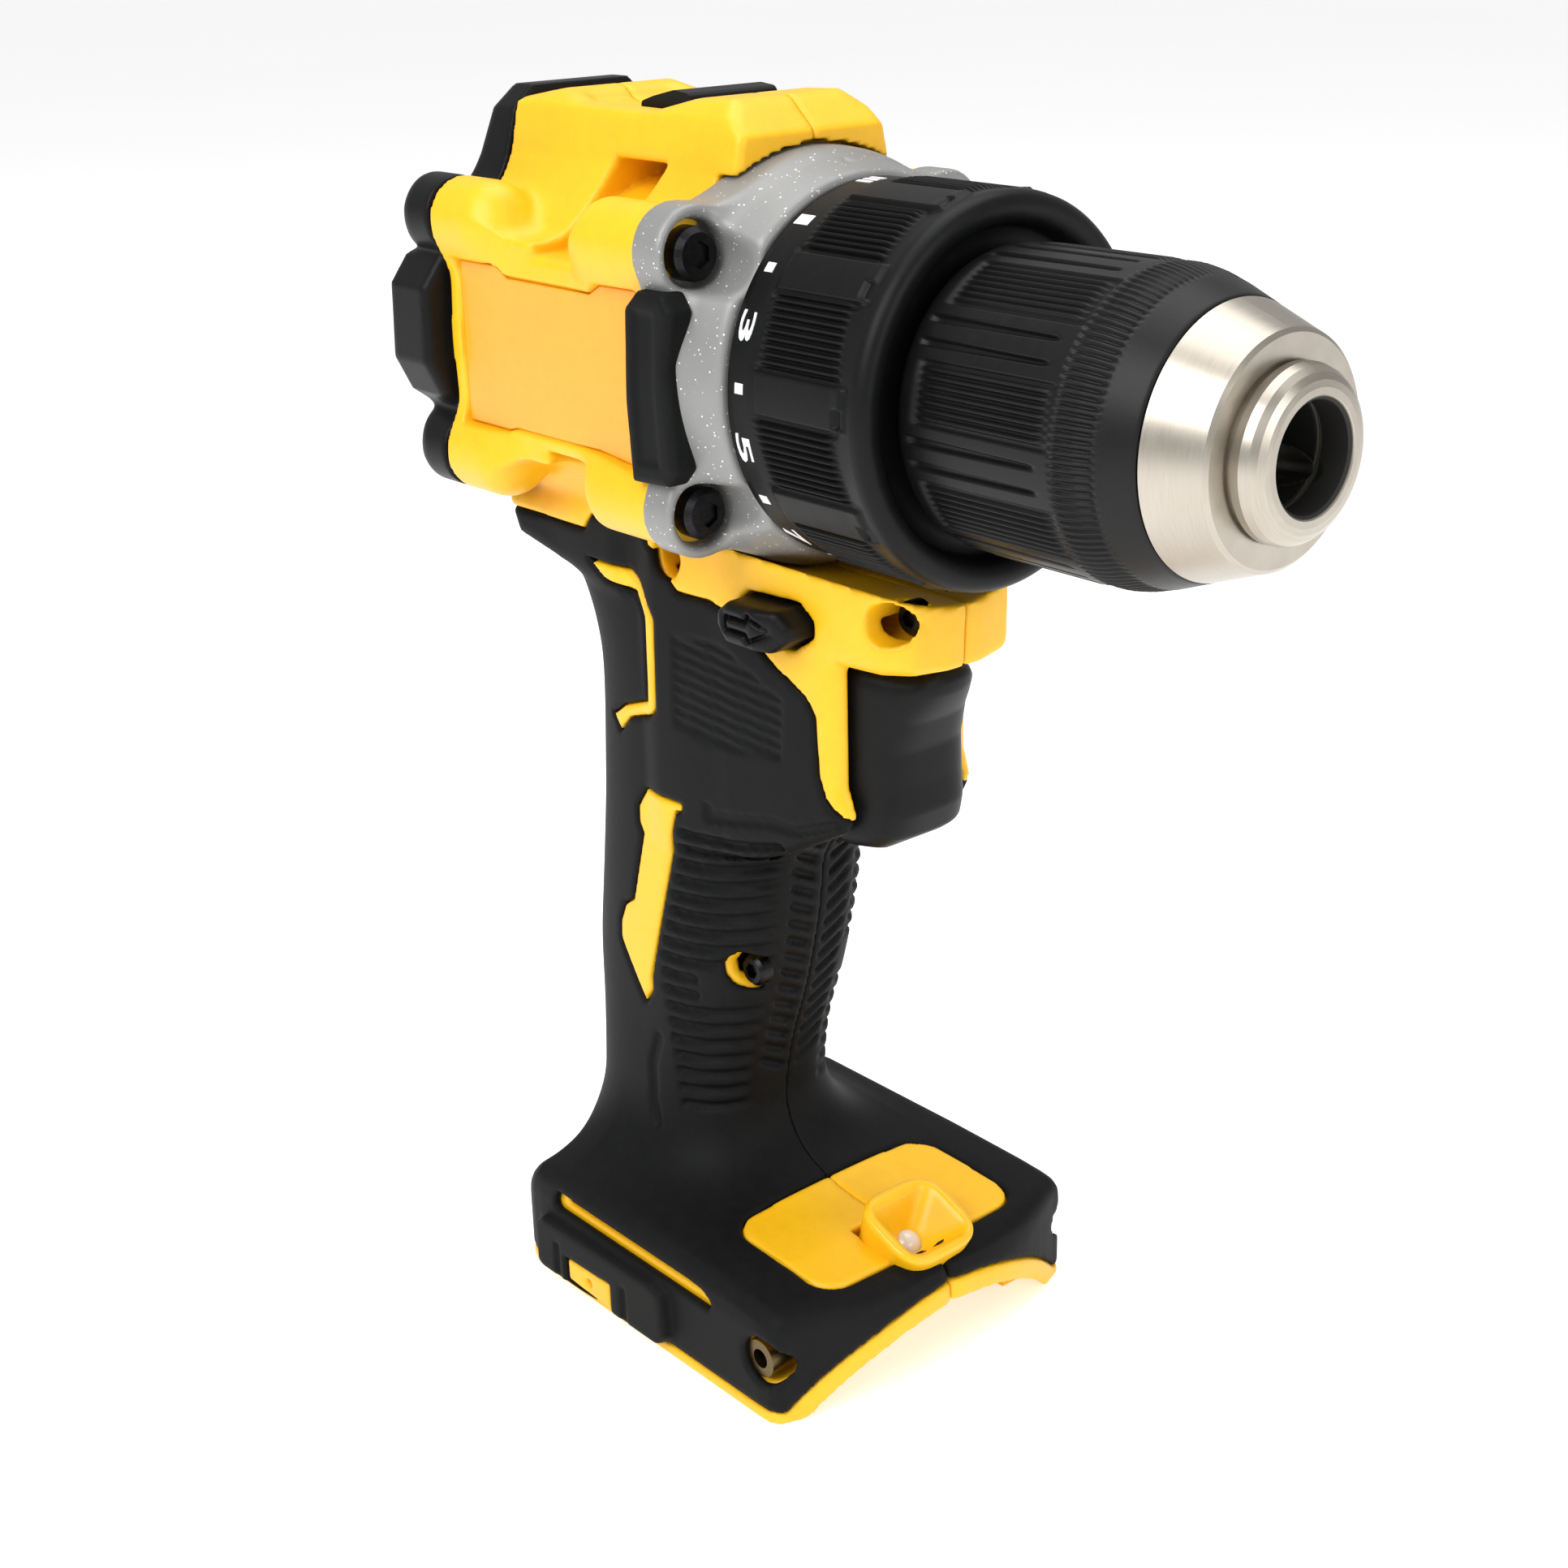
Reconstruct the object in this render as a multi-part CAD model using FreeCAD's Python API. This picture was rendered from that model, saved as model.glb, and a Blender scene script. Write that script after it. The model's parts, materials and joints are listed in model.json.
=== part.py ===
import FreeCAD, Part
import math
import os

# Cordless drill driver, bare tool without its battery.
# Frame: +X to the chuck nose, +Y to the tool's left side, +Z up.
# Origin: on the plane the foot stands on, under the foot, on the parting plane.
os.makedirs("parts", exist_ok=True)

V = FreeCAD.Vector
X, Y, Z = V(1, 0, 0), V(0, 1, 0), V(0, 0, 1)

# ---------------------------------------------------------------- driving sizes (mm)
AXIS_Z = 164.5            # height of the spindle axis

# motor drum
DRUM_REAR = -46.5         # joint between the drum and the rear cap
DRUM_FRONT = 6.0          # joint between the drum and the gear case
DRUM_SIDE = 28.2          # half width at the label panels
DRUM_WALL = 3.4
BOSS_Y, BOSS_Z = 25.2, 18.7    # long screw bosses, from the spindle axis
BOSS_R = 6.2
RIDGE_TOP = 38.2          # top ridge above the spindle axis
RIDGE_HALF = 13.8
CAP_REAR = -58.0          # rearmost face of the rear cap

# motor
STATOR_R = 22.5
STATOR_X0, STATOR_X1 = -38.0, -12.0
ROTOR_R = 12.0
AIR_GAP = 0.5
SHAFT_R = 2.5
BEARING_R = 6.5           # motor bearing, outside
BEARING_LENGTH = 4.5
REAR_BEARING_X = -50.5
FRONT_BEARING_X = -2.2
FAN_R = 20.5
FAN_X0, FAN_X1 = -8.6, -3.2

# planetary gears: one module, three planets in every stage, one ring size
MODULE = 0.6
RING_TEETH = 48
SUN_TEETH = (12, 18, 24)
STAGE_X = ((4.2, 9.2), (15.6, 20.2), (24.4, 29.0))   # gear faces of each stage
RING_R = 17.5             # ring gear, outside
PIN_R = 1.4               # planet pins
CARRIER_R = 13.4
CARRIER_X = ((9.7, 12.2), (20.7, 23.2), (29.6, 33.2))
ADDENDUM, DEDENDUM = 0.8, 1.1  # tooth height in modules
BACKLASH = 0.12           # share of a tooth's half angle left free
RING_SHIFT = 4.9          # travel of the speed selector and its ring gear

# gear case and clutch
CASE_FLANGE_FRONT = 13.0
CASE_R = 27.2
CASE_FRONT = 21.2
TUBE_WALL = 2.3
TUBE_FRONT = 35.0
SPINDLE_R = 6.0
SPINDLE_BEARING_R = 11.0
SPINDLE_BEARING_X = (38.0, 46.0)
NECK_R = 14.0
COLLAR_REAR = 21.6
COLLAR_FRONT = 50.0
COLLAR_R = 28.0
COLLAR_WALL = 3.2
COLLAR_WELL_R = 23.0
COLLAR_WEB_X = (44.2, 46.6)
CLUTCH_NUT_X = (31.0, 34.5)
CLUTCH_TEETH = 24

# chuck
CHUCK_REAR = 51.0
SLEEVE_X = (48.6, 88.7)
SLEEVE_R = 21.5
SLEEVE_WALL = 1.7
CHUCK_BODY_R = 16.4
CONE_R0, CONE_R1 = 18.25, 15.3
CONE_X = (89.0, 97.3)
NOSE_R = 11.6
NOSE_X = 101.85
BORE_R = 7.25
JAW_WAY = 30.0             # clear way in front of each open jaw, along its guide
MOUTH_LENGTH = 4.0         # plain mouth of the bore, in front of its relief groove
GROOVE = (1.0, 0.5)        # width and depth of that groove
JAW_R = 2.9
JAW_TIP_X = 79.5
JAW_LENGTH = 24.0
JAW_SLANT = 15.0          # degrees between a jaw and the spindle axis
JAW_DEPTH = 2.0           # jaw axis behind its gripping edge
NUT_X = (58.2, 63.2)
NUT_BORE = 18.1

# grip, neck and foot
GRIP_HALF = 17.0
NECK_HALF = 17.3
COVER = 1.5               # thickness of the soft cover
GRIP_WALL = 2.4
FOOT_HALF = 34.0
FOOT_FRONT, FOOT_REAR = 34.2, -39.0
FOOT_BULGE = 7.0          # bow of the foot's front edge
FOOT_CORNER = 10.0
FOOT_NOSE_CORNER = 5.0     # tighter corners at the front
FOOT_EDGE_Z = 15.0
FOOT_TOP_Z = 22.6
RIM = 2.0                 # bare rim of the housing under the cover
PLATE = (7.0, 31.0, 22.5) # bare plate on top of the foot: rear, front, half width
BAY_HALF = 26.0
BAY_TOP = 11.5
RAIL = (22.0, 3.6)        # half width between the rails, rail height
ARCH_Z = 12.0             # height of the arch in the foot's front edge

# trigger, switch and direction button
BLOCK_FRONT = 42.2        # front of the block under the collar
BLOCK_BOTTOM = 122.8
SHROUD_TAPER = 2.8        # how much narrower each side of the shroud is at its front
TRIGGER_HALF = 11.0
TRIGGER_TRAVEL = 6.5
BUTTON_X = (9.0, 24.0)
BUTTON_Z = (124.4, 131.6)
BUTTON_OUT = 4.2          # how far it stands out of each side
SELECTOR_X = (-20.0, -8.0)
SELECTOR_HALF = 8.5

# work light
LIGHT_X, LIGHT_Z = 28.6, 18.5
LIGHT_R = 8.4
LIGHT_TILT = 22.0

# clearances
RUN = 0.05                # shaft in its bore, radial
SLIDE = 0.25              # moving plastic pieces
SEAM = 0.12               # between a soft cover and the housing under it
FREE = 0.5                # between parts that only pass each other
THREAD_R = 1.65           # belt hook screw insert


# ---------------------------------------------------------------- helpers
def write(name, shape):
    solids = shape.Solids
    shape = solids[0] if len(solids) == 1 else Part.Compound(solids)
    shape.exportStep("parts/" + name + ".step")
    print(name, len(solids), "solids", round(shape.Volume / 1000.0, 2), "cm3", shape.isValid())


def joined(shapes):
    result = shapes[0]
    for shape in shapes[1:]:
        result = result.fuse(shape)
    return result.removeSplitter()


def cut_all(shape, tools):
    for tool in tools:
        shape = shape.cut(tool)
    return shape


def rounded(corners):
    """Closed wire through corners given as (point, radius); every corner is a true arc."""
    edges = []
    ends = []
    count = len(corners)
    for i in range(count):
        before, here, after = corners[i - 1][0], corners[i][0], corners[(i + 1) % count][0]
        radius = corners[i][1]
        a = (before - here).normalize()
        b = (after - here).normalize()
        half = a.getAngle(b) / 2
        if radius <= 0 or math.pi / 2 - half < 0.02:
            ends.append((here, here))
            continue
        reach = radius / math.tan(half)
        limit = 0.49 * min((before - here).Length, (after - here).Length)
        reach = min(reach, limit)
        radius = reach * math.tan(half)
        start, end = here + a * reach, here + b * reach
        middle = here + (a + b).normalize() * (radius / math.sin(half) - radius)
        edges.append((i, Part.Arc(start, middle, end).toShape()))
        ends.append((start, end))
    arcs = dict(edges)
    path = []
    for i in range(count):
        if i in arcs:
            path.append(arcs[i])
        start, end = ends[i][1], ends[(i + 1) % count][0]
        if (end - start).Length > 1e-6:
            path.append(Part.makeLine(start, end))
    return Part.Wire(path)


def prism(corners, along):
    return Part.Face(rounded(corners)).extrude(along)


def side_prism(points, half, y0=None):
    """Outline given as (x, z, radius), extruded across the tool."""
    start = -half if y0 is None else y0
    corners = [(V(x, start, z), radius) for x, z, radius in points]
    return prism(corners, Y * (half - start))


def front_prism(points, x0, x1):
    """Outline given as (y, z, radius), extruded along the spindle direction."""
    corners = [(V(x0, y, z), radius) for y, z, radius in points]
    return prism(corners, X * (x1 - x0))


def plan_prism(points, z0, z1):
    """Outline given as (x, y, radius), extruded upwards."""
    corners = [(V(x, y, z0), radius) for x, y, radius in points]
    return prism(corners, Z * (z1 - z0))


def box(x0, x1, y0, y1, z0, z1):
    return Part.makeBox(x1 - x0, y1 - y0, z1 - z0, V(x0, y0, z0))


def disc(radius, x0, x1, y=0.0, z=None):
    centre = V(x0, y, AXIS_Z if z is None else z)
    return Part.makeCylinder(radius, x1 - x0, centre, X)


def tube(outer, inner, x0, x1, y=0.0, z=None):
    return disc(outer, x0, x1, y, z).cut(disc(inner, x0, x1, y, z))


def turned(profile):
    """Solid of revolution about the spindle axis from (x, radius) points."""
    points = [V(x, 0, AXIS_Z + radius) for x, radius in profile]
    face = Part.Face(Part.makePolygon(points + [points[0]]))
    return face.revolve(V(0, 0, AXIS_Z), X, 360)


def spun(shape, degrees):
    """Copy turned about the spindle axis."""
    copy = shape.copy()
    copy.rotate(V(0, 0, AXIS_Z), X, degrees)
    return copy


def mirrored(shape):
    return shape.mirror(V(0, 0, 0), Y)


def both_sides(shape):
    return Part.Compound([shape, mirrored(shape)])


def half_space(side):
    """Everything on one side of the parting plane, -1 for the right and +1 for the left."""
    return box(-90, 130, -60 if side < 0 else 0, 0 if side < 0 else 60, -20, 240)


# ---------------------------------------------------------------- gears
def involute(angle):
    return math.tan(angle) - angle


def gear_points(teeth, centre_y, centre_z, x, inside, phase):
    """Tooth outline with straight-sided flanks that follow the involute."""
    pitch = MODULE * teeth / 2
    base = pitch * math.cos(math.radians(20))
    low = pitch - MODULE * (ADDENDUM if inside else DEDENDUM)
    high = pitch + MODULE * (DEDENDUM if inside else ADDENDUM)
    share = 1 + BACKLASH if inside else 1 - BACKLASH
    radii = (low, (low + high) / 2, high)
    flank = []
    for radius in radii:
        reach = max(radius, base)
        spread = involute(math.radians(20)) - involute(math.acos(base / reach))
        flank.append((radius, share * math.pi / 2 / teeth + spread))
    points = []
    for tooth in range(teeth):
        middle = phase + 2 * math.pi * tooth / teeth
        sides = [(r, middle - a) for r, a in flank] + [(r, middle + a) for r, a in reversed(flank)]
        for radius, angle in sides:
            points.append(V(x, centre_y + radius * math.cos(angle), centre_z + radius * math.sin(angle)))
    return points


def gear_solid(teeth, x0, x1, y=0.0, z=0.0, phase=0.0, inside=False):
    points = gear_points(teeth, y, AXIS_Z + z, x0, inside, phase)
    face = Part.Face(Part.makePolygon(points + [points[0]]))
    return face.extrude(X * (x1 - x0))


def planet_teeth(stage):
    return (RING_TEETH - SUN_TEETH[stage]) // 2


def planet_place(stage, number):
    """Angle and centre of a planet, from the spindle axis."""
    angle = 2 * math.pi * number / 3
    radius = MODULE * (SUN_TEETH[stage] + planet_teeth(stage)) / 2
    return angle, radius * math.cos(angle), radius * math.sin(angle)


def planet(stage, number):
    """A planet with one tooth pointing straight out, into a space of the ring."""
    x0, x1 = STAGE_X[stage]
    angle, y, z = planet_place(stage, number)
    body = gear_solid(planet_teeth(stage), x0, x1, y, z, angle)
    return body.cut(disc(PIN_R + RUN, x0 - 1, x1 + 1, y, AXIS_Z + z))


def sun(stage, x0, x1):
    """A sun whose teeth fit the planets' inner sides."""
    step = math.pi / SUN_TEETH[stage]
    phase = step if planet_teeth(stage) % 2 == 0 else 0.0
    return gear_solid(SUN_TEETH[stage], x0, x1, phase=phase)


def ring_gear(stage):
    x0, x1 = STAGE_X[stage][0] - 0.4, STAGE_X[stage][1] + 0.4
    return disc(RING_R, x0, x1).cut(gear_solid(RING_TEETH, x0 - 1, x1 + 1, inside=True))


def carrier(stage):
    """Plate with three pins that the planets of its stage turn on."""
    x0, x1 = CARRIER_X[stage]
    pins = []
    for number in range(3):
        y, z = planet_place(stage, number)[1:]
        pins.append(disc(PIN_R, STAGE_X[stage][0], x1, y, AXIS_Z + z))
    return joined([disc(CARRIER_R, x0, x1)] + pins)


# ---------------------------------------------------------------- outer form of the body
def drum_outline(grow=0.0):
    """Section of the motor drum: top ridge, four screw bosses, flat sides."""
    side = DRUM_SIDE + grow
    boss_y = BOSS_Y + BOSS_R + grow
    boss_z = BOSS_Z + BOSS_R + grow
    right = [
        (RIDGE_HALF + grow, RIDGE_TOP + grow, 5.0),
        (RIDGE_HALF + 2.4 + grow, boss_z + 1.2, 3.0),
        (boss_y, boss_z, BOSS_R + grow),
        (boss_y, BOSS_Z - 3.6, 2.5),
        (side, BOSS_Z - 6.8, 2.0),
        (side, 6.8 - BOSS_Z, 2.0),
        (boss_y, 3.6 - BOSS_Z, 2.5),
        (boss_y, -boss_z, BOSS_R + grow),
        (RIDGE_HALF, -boss_z - 2.6, 8.0),
    ]
    left = [(-y, z, r) for y, z, r in reversed(right)]
    return [(y, AXIS_Z + z, r) for y, z, r in right + left]


def shroud_outline(inset):
    """Side view of the trigger shroud and the block in front of it."""
    return [
        (BLOCK_FRONT, 146.0, 0),
        (BLOCK_FRONT + 0.4, 131.0, 20.0),
        (BLOCK_FRONT, BLOCK_BOTTOM, 1.5),
        (28.4, BLOCK_BOTTOM, 1.5),
        (28.4, 103.0, 6.0),
        (30.4 - inset, 99.0, 1.0),
        (29.0 - inset, 96.0 + inset, 2.0),
        (10.0 - inset, 85.6 + inset, 6.0),
        (-10.0, 85.6 + inset, 0),
        (-10.0, 146.0, 0),
    ]


def neck(inset=0.0):
    """Trigger shroud and front block: rounded in plan, hollowed on top for the collar."""
    half = NECK_HALF - inset
    side_view = side_prism(shroud_outline(inset), half)
    right = [
        (-11.0, -half, 0),
        (5.0, -half, 20.0),
        (28.0, SHROUD_TAPER - half, 20.0),
        (BLOCK_FRONT + 0.4, SHROUD_TAPER + 0.6 - half, 11.5),
    ]
    left = [(x, -y, r) for x, y, r in reversed(right)]
    plan_view = plan_prism(right + left, 80, 150)
    collar_seat = disc(COLLAR_R + FREE, COLLAR_REAR - FREE, 60)
    return side_view.common(plan_view).cut(collar_seat)


GRIP_STATIONS = (
    # height, front, rear, half width
    (12.0, 6.0, -40.0, 19.5),
    (24.0, 0.5, -41.5, 18.2),
    (34.0, -1.5, -41.5, 17.3),
    (46.0, 0.5, -41.5, 17.0),
    (58.0, 5.0, -41.5, 17.3),
    (72.0, 8.5, -39.5, 17.5),
    (86.0, 10.2, -37.6, 17.5),
    (104.0, 10.8, -36.2, 17.5),
    (113.0, 10.0, -36.0, 17.5),
    (121.0, 9.0, -39.0, 17.5),
    (128.0, 9.0, -44.0, 17.5),
    (136.0, 9.0, -51.0, 17.0),
)


def grip_section(height, front, rear, half):
    """Rounded oval section of the grip: a superellipse of power 2.6."""
    middle, depth = (front + rear) / 2, (front - rear) / 2
    power = 2 / 2.6
    points = []
    for step in range(20):
        angle = 2 * math.pi * step / 20
        c, s = math.cos(angle), math.sin(angle)
        x = middle + depth * math.copysign(abs(c) ** power, c)
        y = half * math.copysign(abs(s) ** power, s)
        points.append(V(x, y, height))
    curve = Part.BSplineCurve()
    curve.interpolate(points, PeriodicFlag=True)
    return Part.Wire([curve.toShape()])


def grip(inset=0.0):
    wires = []
    for height, front, rear, half in GRIP_STATIONS:
        half = half * GRIP_HALF / 17.5
        wires.append(grip_section(height, front - inset, rear + inset, half - inset))
    return Part.makeLoft(wires, True, False)


def foot(inset=0.0):
    """Foot: plan, side view and front view cut from one block."""
    front, rear, half = FOOT_FRONT - inset, FOOT_REAR + inset, FOOT_HALF - inset
    bulge_tip = V(front + FOOT_BULGE, 0, 0)
    corner, nose = FOOT_CORNER, FOOT_NOSE_CORNER
    start, end = V(front, -half + nose, 0), V(front, half - nose, 0)
    mid = corner * (1 - math.sqrt(0.5))
    nose_mid = nose * (1 - math.sqrt(0.5))
    edges = [
        Part.Arc(start, bulge_tip, end).toShape(),
        Part.Arc(end, V(front - nose_mid, half - nose_mid, 0), V(front - nose, half, 0)).toShape(),
        Part.makeLine(V(front - nose, half, 0), V(rear + corner, half, 0)),
        Part.Arc(V(rear + corner, half, 0), V(rear + mid, half - mid, 0), V(rear, half - corner, 0)).toShape(),
        Part.makeLine(V(rear, half - corner, 0), V(rear, -half + corner, 0)),
        Part.Arc(V(rear, -half + corner, 0), V(rear + mid, -half + mid, 0), V(rear + corner, -half, 0)).toShape(),
        Part.makeLine(V(rear + corner, -half, 0), V(front - nose, -half, 0)),
        Part.Arc(V(front - nose, -half, 0), V(front - nose_mid, -half + nose_mid, 0), start).toShape(),
    ]
    plan = Part.Face(Part.Wire(edges)).extrude(Z * (FOOT_TOP_Z + 20))
    top, edge = FOOT_TOP_Z - inset, FOOT_EDGE_Z - inset
    tip = front + FOOT_BULGE
    side_view = side_prism([
        (tip + 1, -1.0, 0),
        (rear - 1, -1.0, 0),
        (rear - 1, edge - 2.0, 0),
        (rear + 4.0, top, 4.0),
        (front - 26.0, top, 20.0),
        (tip - 3.6, top - 2.6, 2.0),
        (tip, edge, 1.0),
        (tip + 1, edge - 3.0, 0),
    ], FOOT_HALF + 5)
    front_view = front_prism([
        (half + 1, -1.0, 0),
        (half + 1, edge - 1.0, 0),
        (half - 2.6, edge + 0.8, 2.0),
        (half - 11.0, top + 0.2, 6.0),
        (11.0 - half, top + 0.2, 6.0),
        (2.6 - half, edge + 0.8, 2.0),
        (-half - 1, edge - 1.0, 0),
        (-half - 1, -1.0, 0),
    ], rear - 5, tip + 5)
    return plan.common(side_view).common(front_view)


def covered_side(grow):
    """Area that the soft cover takes: grip, neck and foot, less a bare plate on the foot."""
    area = side_prism([
        (-70.0, 133.6 + grow, 0),
        (-27.5 - grow, 134.0 + grow, 1.0),
        (-25.5, 136.8 + grow, 1.0),
        (-14.0, 136.8 + grow, 2.0),
        (-5.0, 128.4 + grow, 2.0),
        (7.0, 128.2 + grow, 2.0),
        (23.6 + grow, 118.4 + grow, 2.0),
        (25.0 + grow, 105.0, 3.0),
        (30.6 + grow, 98.4 + grow, 2.0),
        (60.0, 94.0 + grow, 0),
        (60.0, RIM - grow, 0),
        (-70.0, RIM - grow, 0),
    ], 60.0)
    x0, x1, half = PLATE
    plate = plan_prism([
        (x0 + grow, grow - half, 6.0),
        (x1 - grow, grow - half, 6.0),
        (x1 - grow, half - grow, 6.0),
        (x0 + grow, half - grow, 6.0),
    ], FOOT_EDGE_Z, FOOT_TOP_Z + 1)
    return area.cut(plate)


# ---------------------------------------------------------------- clamshell housing
BAY_X = (FOOT_REAR + 4.5, FOOT_FRONT + 2.0)
ARCH_R = ((FOOT_HALF - 6.0) ** 2 + ARCH_Z ** 2) / (2 * ARCH_Z)
SCREWS = (
    # x, z and the depth of the outer surface at each housing screw
    (2.4, 62.9, -GRIP_HALF),
    (37.4, 131.0, SHROUD_TAPER - NECK_HALF),
    (-7.0, 133.4, -NECK_HALF),
)
SCREW_R = 1.6
HEAD_R = 3.0
WELL_R = 3.7
SCREW_LENGTH = 20.0
HEAD_DEPTH = 4.0


def body_form(inset=0.0):
    return joined([neck(inset), grip(inset), foot(inset)])


def battery_bay():
    """Space that the battery slides into, with a rail along each side."""
    wide = box(BAY_X[0], 60, -BAY_HALF, BAY_HALF, RAIL[1], BAY_TOP)
    narrow = box(BAY_X[0], 60, -RAIL[0], RAIL[0], -1, RAIL[1])
    arch = Part.makeCylinder(ARCH_R, 60, V(BAY_X[1] - 6.0, 0, ARCH_Z - ARCH_R), X)
    front_limit = box(-80, FOOT_FRONT - 3.0, -60, 60, -5, 60)
    return wide.common(front_limit).fuse(narrow.common(front_limit)).fuse(arch)


TRIGGER_TOP = BLOCK_BOTTOM - 0.8
TRIGGER_BACK = 20.0
TRIGGER_OUTLINE = [
    (38.4, TRIGGER_TOP, 1.0),
    (39.6, 118.8, 1.6),
    (34.8, 113.0, 8.0),
    (33.8, 107.0, 14.0),
    (34.8, 99.5, 8.0),
    (32.6, 95.2, 4.0),
    (26.0, 92.4, 3.0),
    (TRIGGER_BACK, 92.0, 1.0),
    (TRIGGER_BACK, TRIGGER_TOP, 1.0),
]
SWITCH_X = (-14.0, TRIGGER_BACK - TRIGGER_TRAVEL - FREE)
SWITCH_Z = (96.0, 121.0)
SWITCH_HALF = 9.0


def inner_space():
    """Everything hollow inside the two housing halves."""
    bore = disc(STATOR_R + RUN, DRUM_REAR - 20, DRUM_FRONT + 1)
    rear_room = disc(DRUM_SIDE - DRUM_WALL, DRUM_REAR - 20, STATOR_X0)
    front_room = disc(DRUM_SIDE - DRUM_WALL, STATOR_X1, CASE_FRONT + FREE)
    selector_room = box(-30.0, CASE_FRONT, -11.0, 11.0, AXIS_Z + 10, AXIS_Z + RIDGE_TOP - 8.0)
    grip_room = grip(COVER + GRIP_WALL)
    neck_room = box(-30.0, 24.0, -12.5, 12.5, 94.0, 140.0)
    return [bore, rear_room, front_room, selector_room, grip_room, neck_room]


def trigger_slot():
    """Room for the trigger over its whole travel, open to the front and below."""
    return box(TRIGGER_BACK - TRIGGER_TRAVEL - FREE, 60, -TRIGGER_HALF - SLIDE, TRIGGER_HALF + SLIDE,
               84.0, TRIGGER_TOP + SLIDE)


def button_hole():
    hole = box(BUTTON_X[0] - SLIDE, BUTTON_X[1] + SLIDE, -40, 40, BUTTON_Z[0] - SLIDE, BUTTON_Z[1] + SLIDE)
    return hole


def screw_line(x, z, y):
    """Housing screw, put in from the right side."""
    shank = Part.makeCylinder(SCREW_R, SCREW_LENGTH, V(x, y + HEAD_DEPTH, z), Y)
    head = Part.makeCylinder(HEAD_R, 2.2, V(x, y + HEAD_DEPTH, z), Y)
    drive = Part.makeCylinder(1.3, 1.2, V(x, y + HEAD_DEPTH - 0.1, z), Y)
    return shank.fuse(head).cut(drive)


def screw_pillar(x, z, y):
    return Part.makeCylinder(WELL_R + 1.4, -2 * y - 2.4, V(x, y + 1.2, z), Y)


def screw_well(x, z, y):
    well = Part.makeCylinder(WELL_R, HEAD_DEPTH + 5, V(x, y - 5, z), Y)
    seat = Part.makeCylinder(HEAD_R + RUN, HEAD_DEPTH + 7.2, V(x, y - 5, z), Y)
    hole = Part.makeCylinder(SCREW_R + RUN, SCREW_LENGTH + 0.2, V(x, y + HEAD_DEPTH, z), Y)
    return well.fuse(seat).fuse(hole)


BOSSES = [(sy * BOSS_Y, sz * BOSS_Z) for sy in (-1, 1) for sz in (-1, 1)]
CASE_SCREW_R = 1.9
CASE_HEAD_R = 3.6
CASE_SCREW_X = (DRUM_FRONT - 22.0, CASE_FLANGE_FRONT + 0.4)
CAP_SCREW_X = (CAP_REAR + 5.0, DRUM_REAR + 16.0)
LABEL = (-43.5, 2.0, 12.6, 0.6)       # rear, front, half height, thickness
HOOK_XZ = (28.5, 10.5)
HOOK_LENGTH = 6.5
HOOK_THREAD = 5.0          # depth of the threaded hole
HOOK_R = 3.2


def label_plate(extra):
    """Plain label panel on the right side; the left one is its mirror image."""
    x0, x1, half, thick = LABEL
    outline = [
        (x0 - extra, AXIS_Z - half - extra, 2.0),
        (x1 + 1.2 + extra, AXIS_Z - half - extra, 2.0),
        (x1 + extra, AXIS_Z + half + extra, 2.0),
        (x0 - extra, AXIS_Z + half + extra, 2.0),
    ]
    return side_prism(outline, -DRUM_SIDE + thick, -DRUM_SIDE - extra * 5)


def vents():
    """Slanted air slots above and below each label panel."""
    slots = []
    for x0, z0, length, count in ((-30.0, 18.0, 5.5, 2), (-30.0, -18.4, 4.5, 2)):
        for i in range(count):
            low = x0 + i * 9.0
            outline = [
                (low, AXIS_Z + z0 - 2.2, 0.8),
                (low + length, AXIS_Z + z0 - 2.2, 0.8),
                (low + length + 1.6, AXIS_Z + z0 + 2.2, 0.8),
                (low + 1.6, AXIS_Z + z0 + 2.2, 0.8),
            ]
            slots.append(side_prism(outline, 60.0))
    return slots


def housing():
    drum = front_prism(drum_outline(), DRUM_REAR, DRUM_FRONT)
    bare = joined([drum, neck()])
    shell = joined([bare, grip(), foot()]).cut(covered_side(SEAM))
    core = body_form(COVER + SEAM)
    body = shell.fuse(core)
    body = cut_all(body, inner_space())
    keep = core.common(screw_pillar(*SCREWS[0]))
    body = body.fuse(keep)
    body = cut_all(body, [battery_bay(), trigger_slot(), button_hole(), selector_slot(), light_seat()])
    body = cut_all(body, [screw_well(*place) for place in SCREWS])
    for y, z in BOSSES:
        body = body.cut(disc(CASE_SCREW_R + RUN, CASE_SCREW_X[0], DRUM_FRONT + 1, y, AXIS_Z + z))
        body = body.cut(disc(CASE_SCREW_R + RUN, DRUM_REAR - 1, CAP_SCREW_X[1], y, AXIS_Z + z))
    body = body.cut(both_sides(label_plate(SEAM)))
    body = cut_all(body, vents())
    body = body.cut(both_sides(hook_insert(RUN)))
    body = body.cut(case_form(SEAM))
    body = body.cut(front_prism(drum_outline(SEAM), CAP_REAR - 9, DRUM_REAR))
    body = body.cut(terminal_room())
    return body


def hook_insert(extra=0.0):
    x, z = HOOK_XZ
    outer = Part.makeCylinder(HOOK_R + extra, HOOK_LENGTH + extra, V(x, -FOOT_HALF + COVER + SEAM, z), Y)
    if extra > 0:
        mouth = Part.makeCylinder(HOOK_R + 1.0, 6, V(x, -FOOT_HALF - 4, z), Y)
        return outer.fuse(mouth)
    return outer.cut(Part.makeCylinder(THREAD_R, HOOK_THREAD, V(x, -FOOT_HALF + COVER + SEAM, z), Y))


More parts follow.
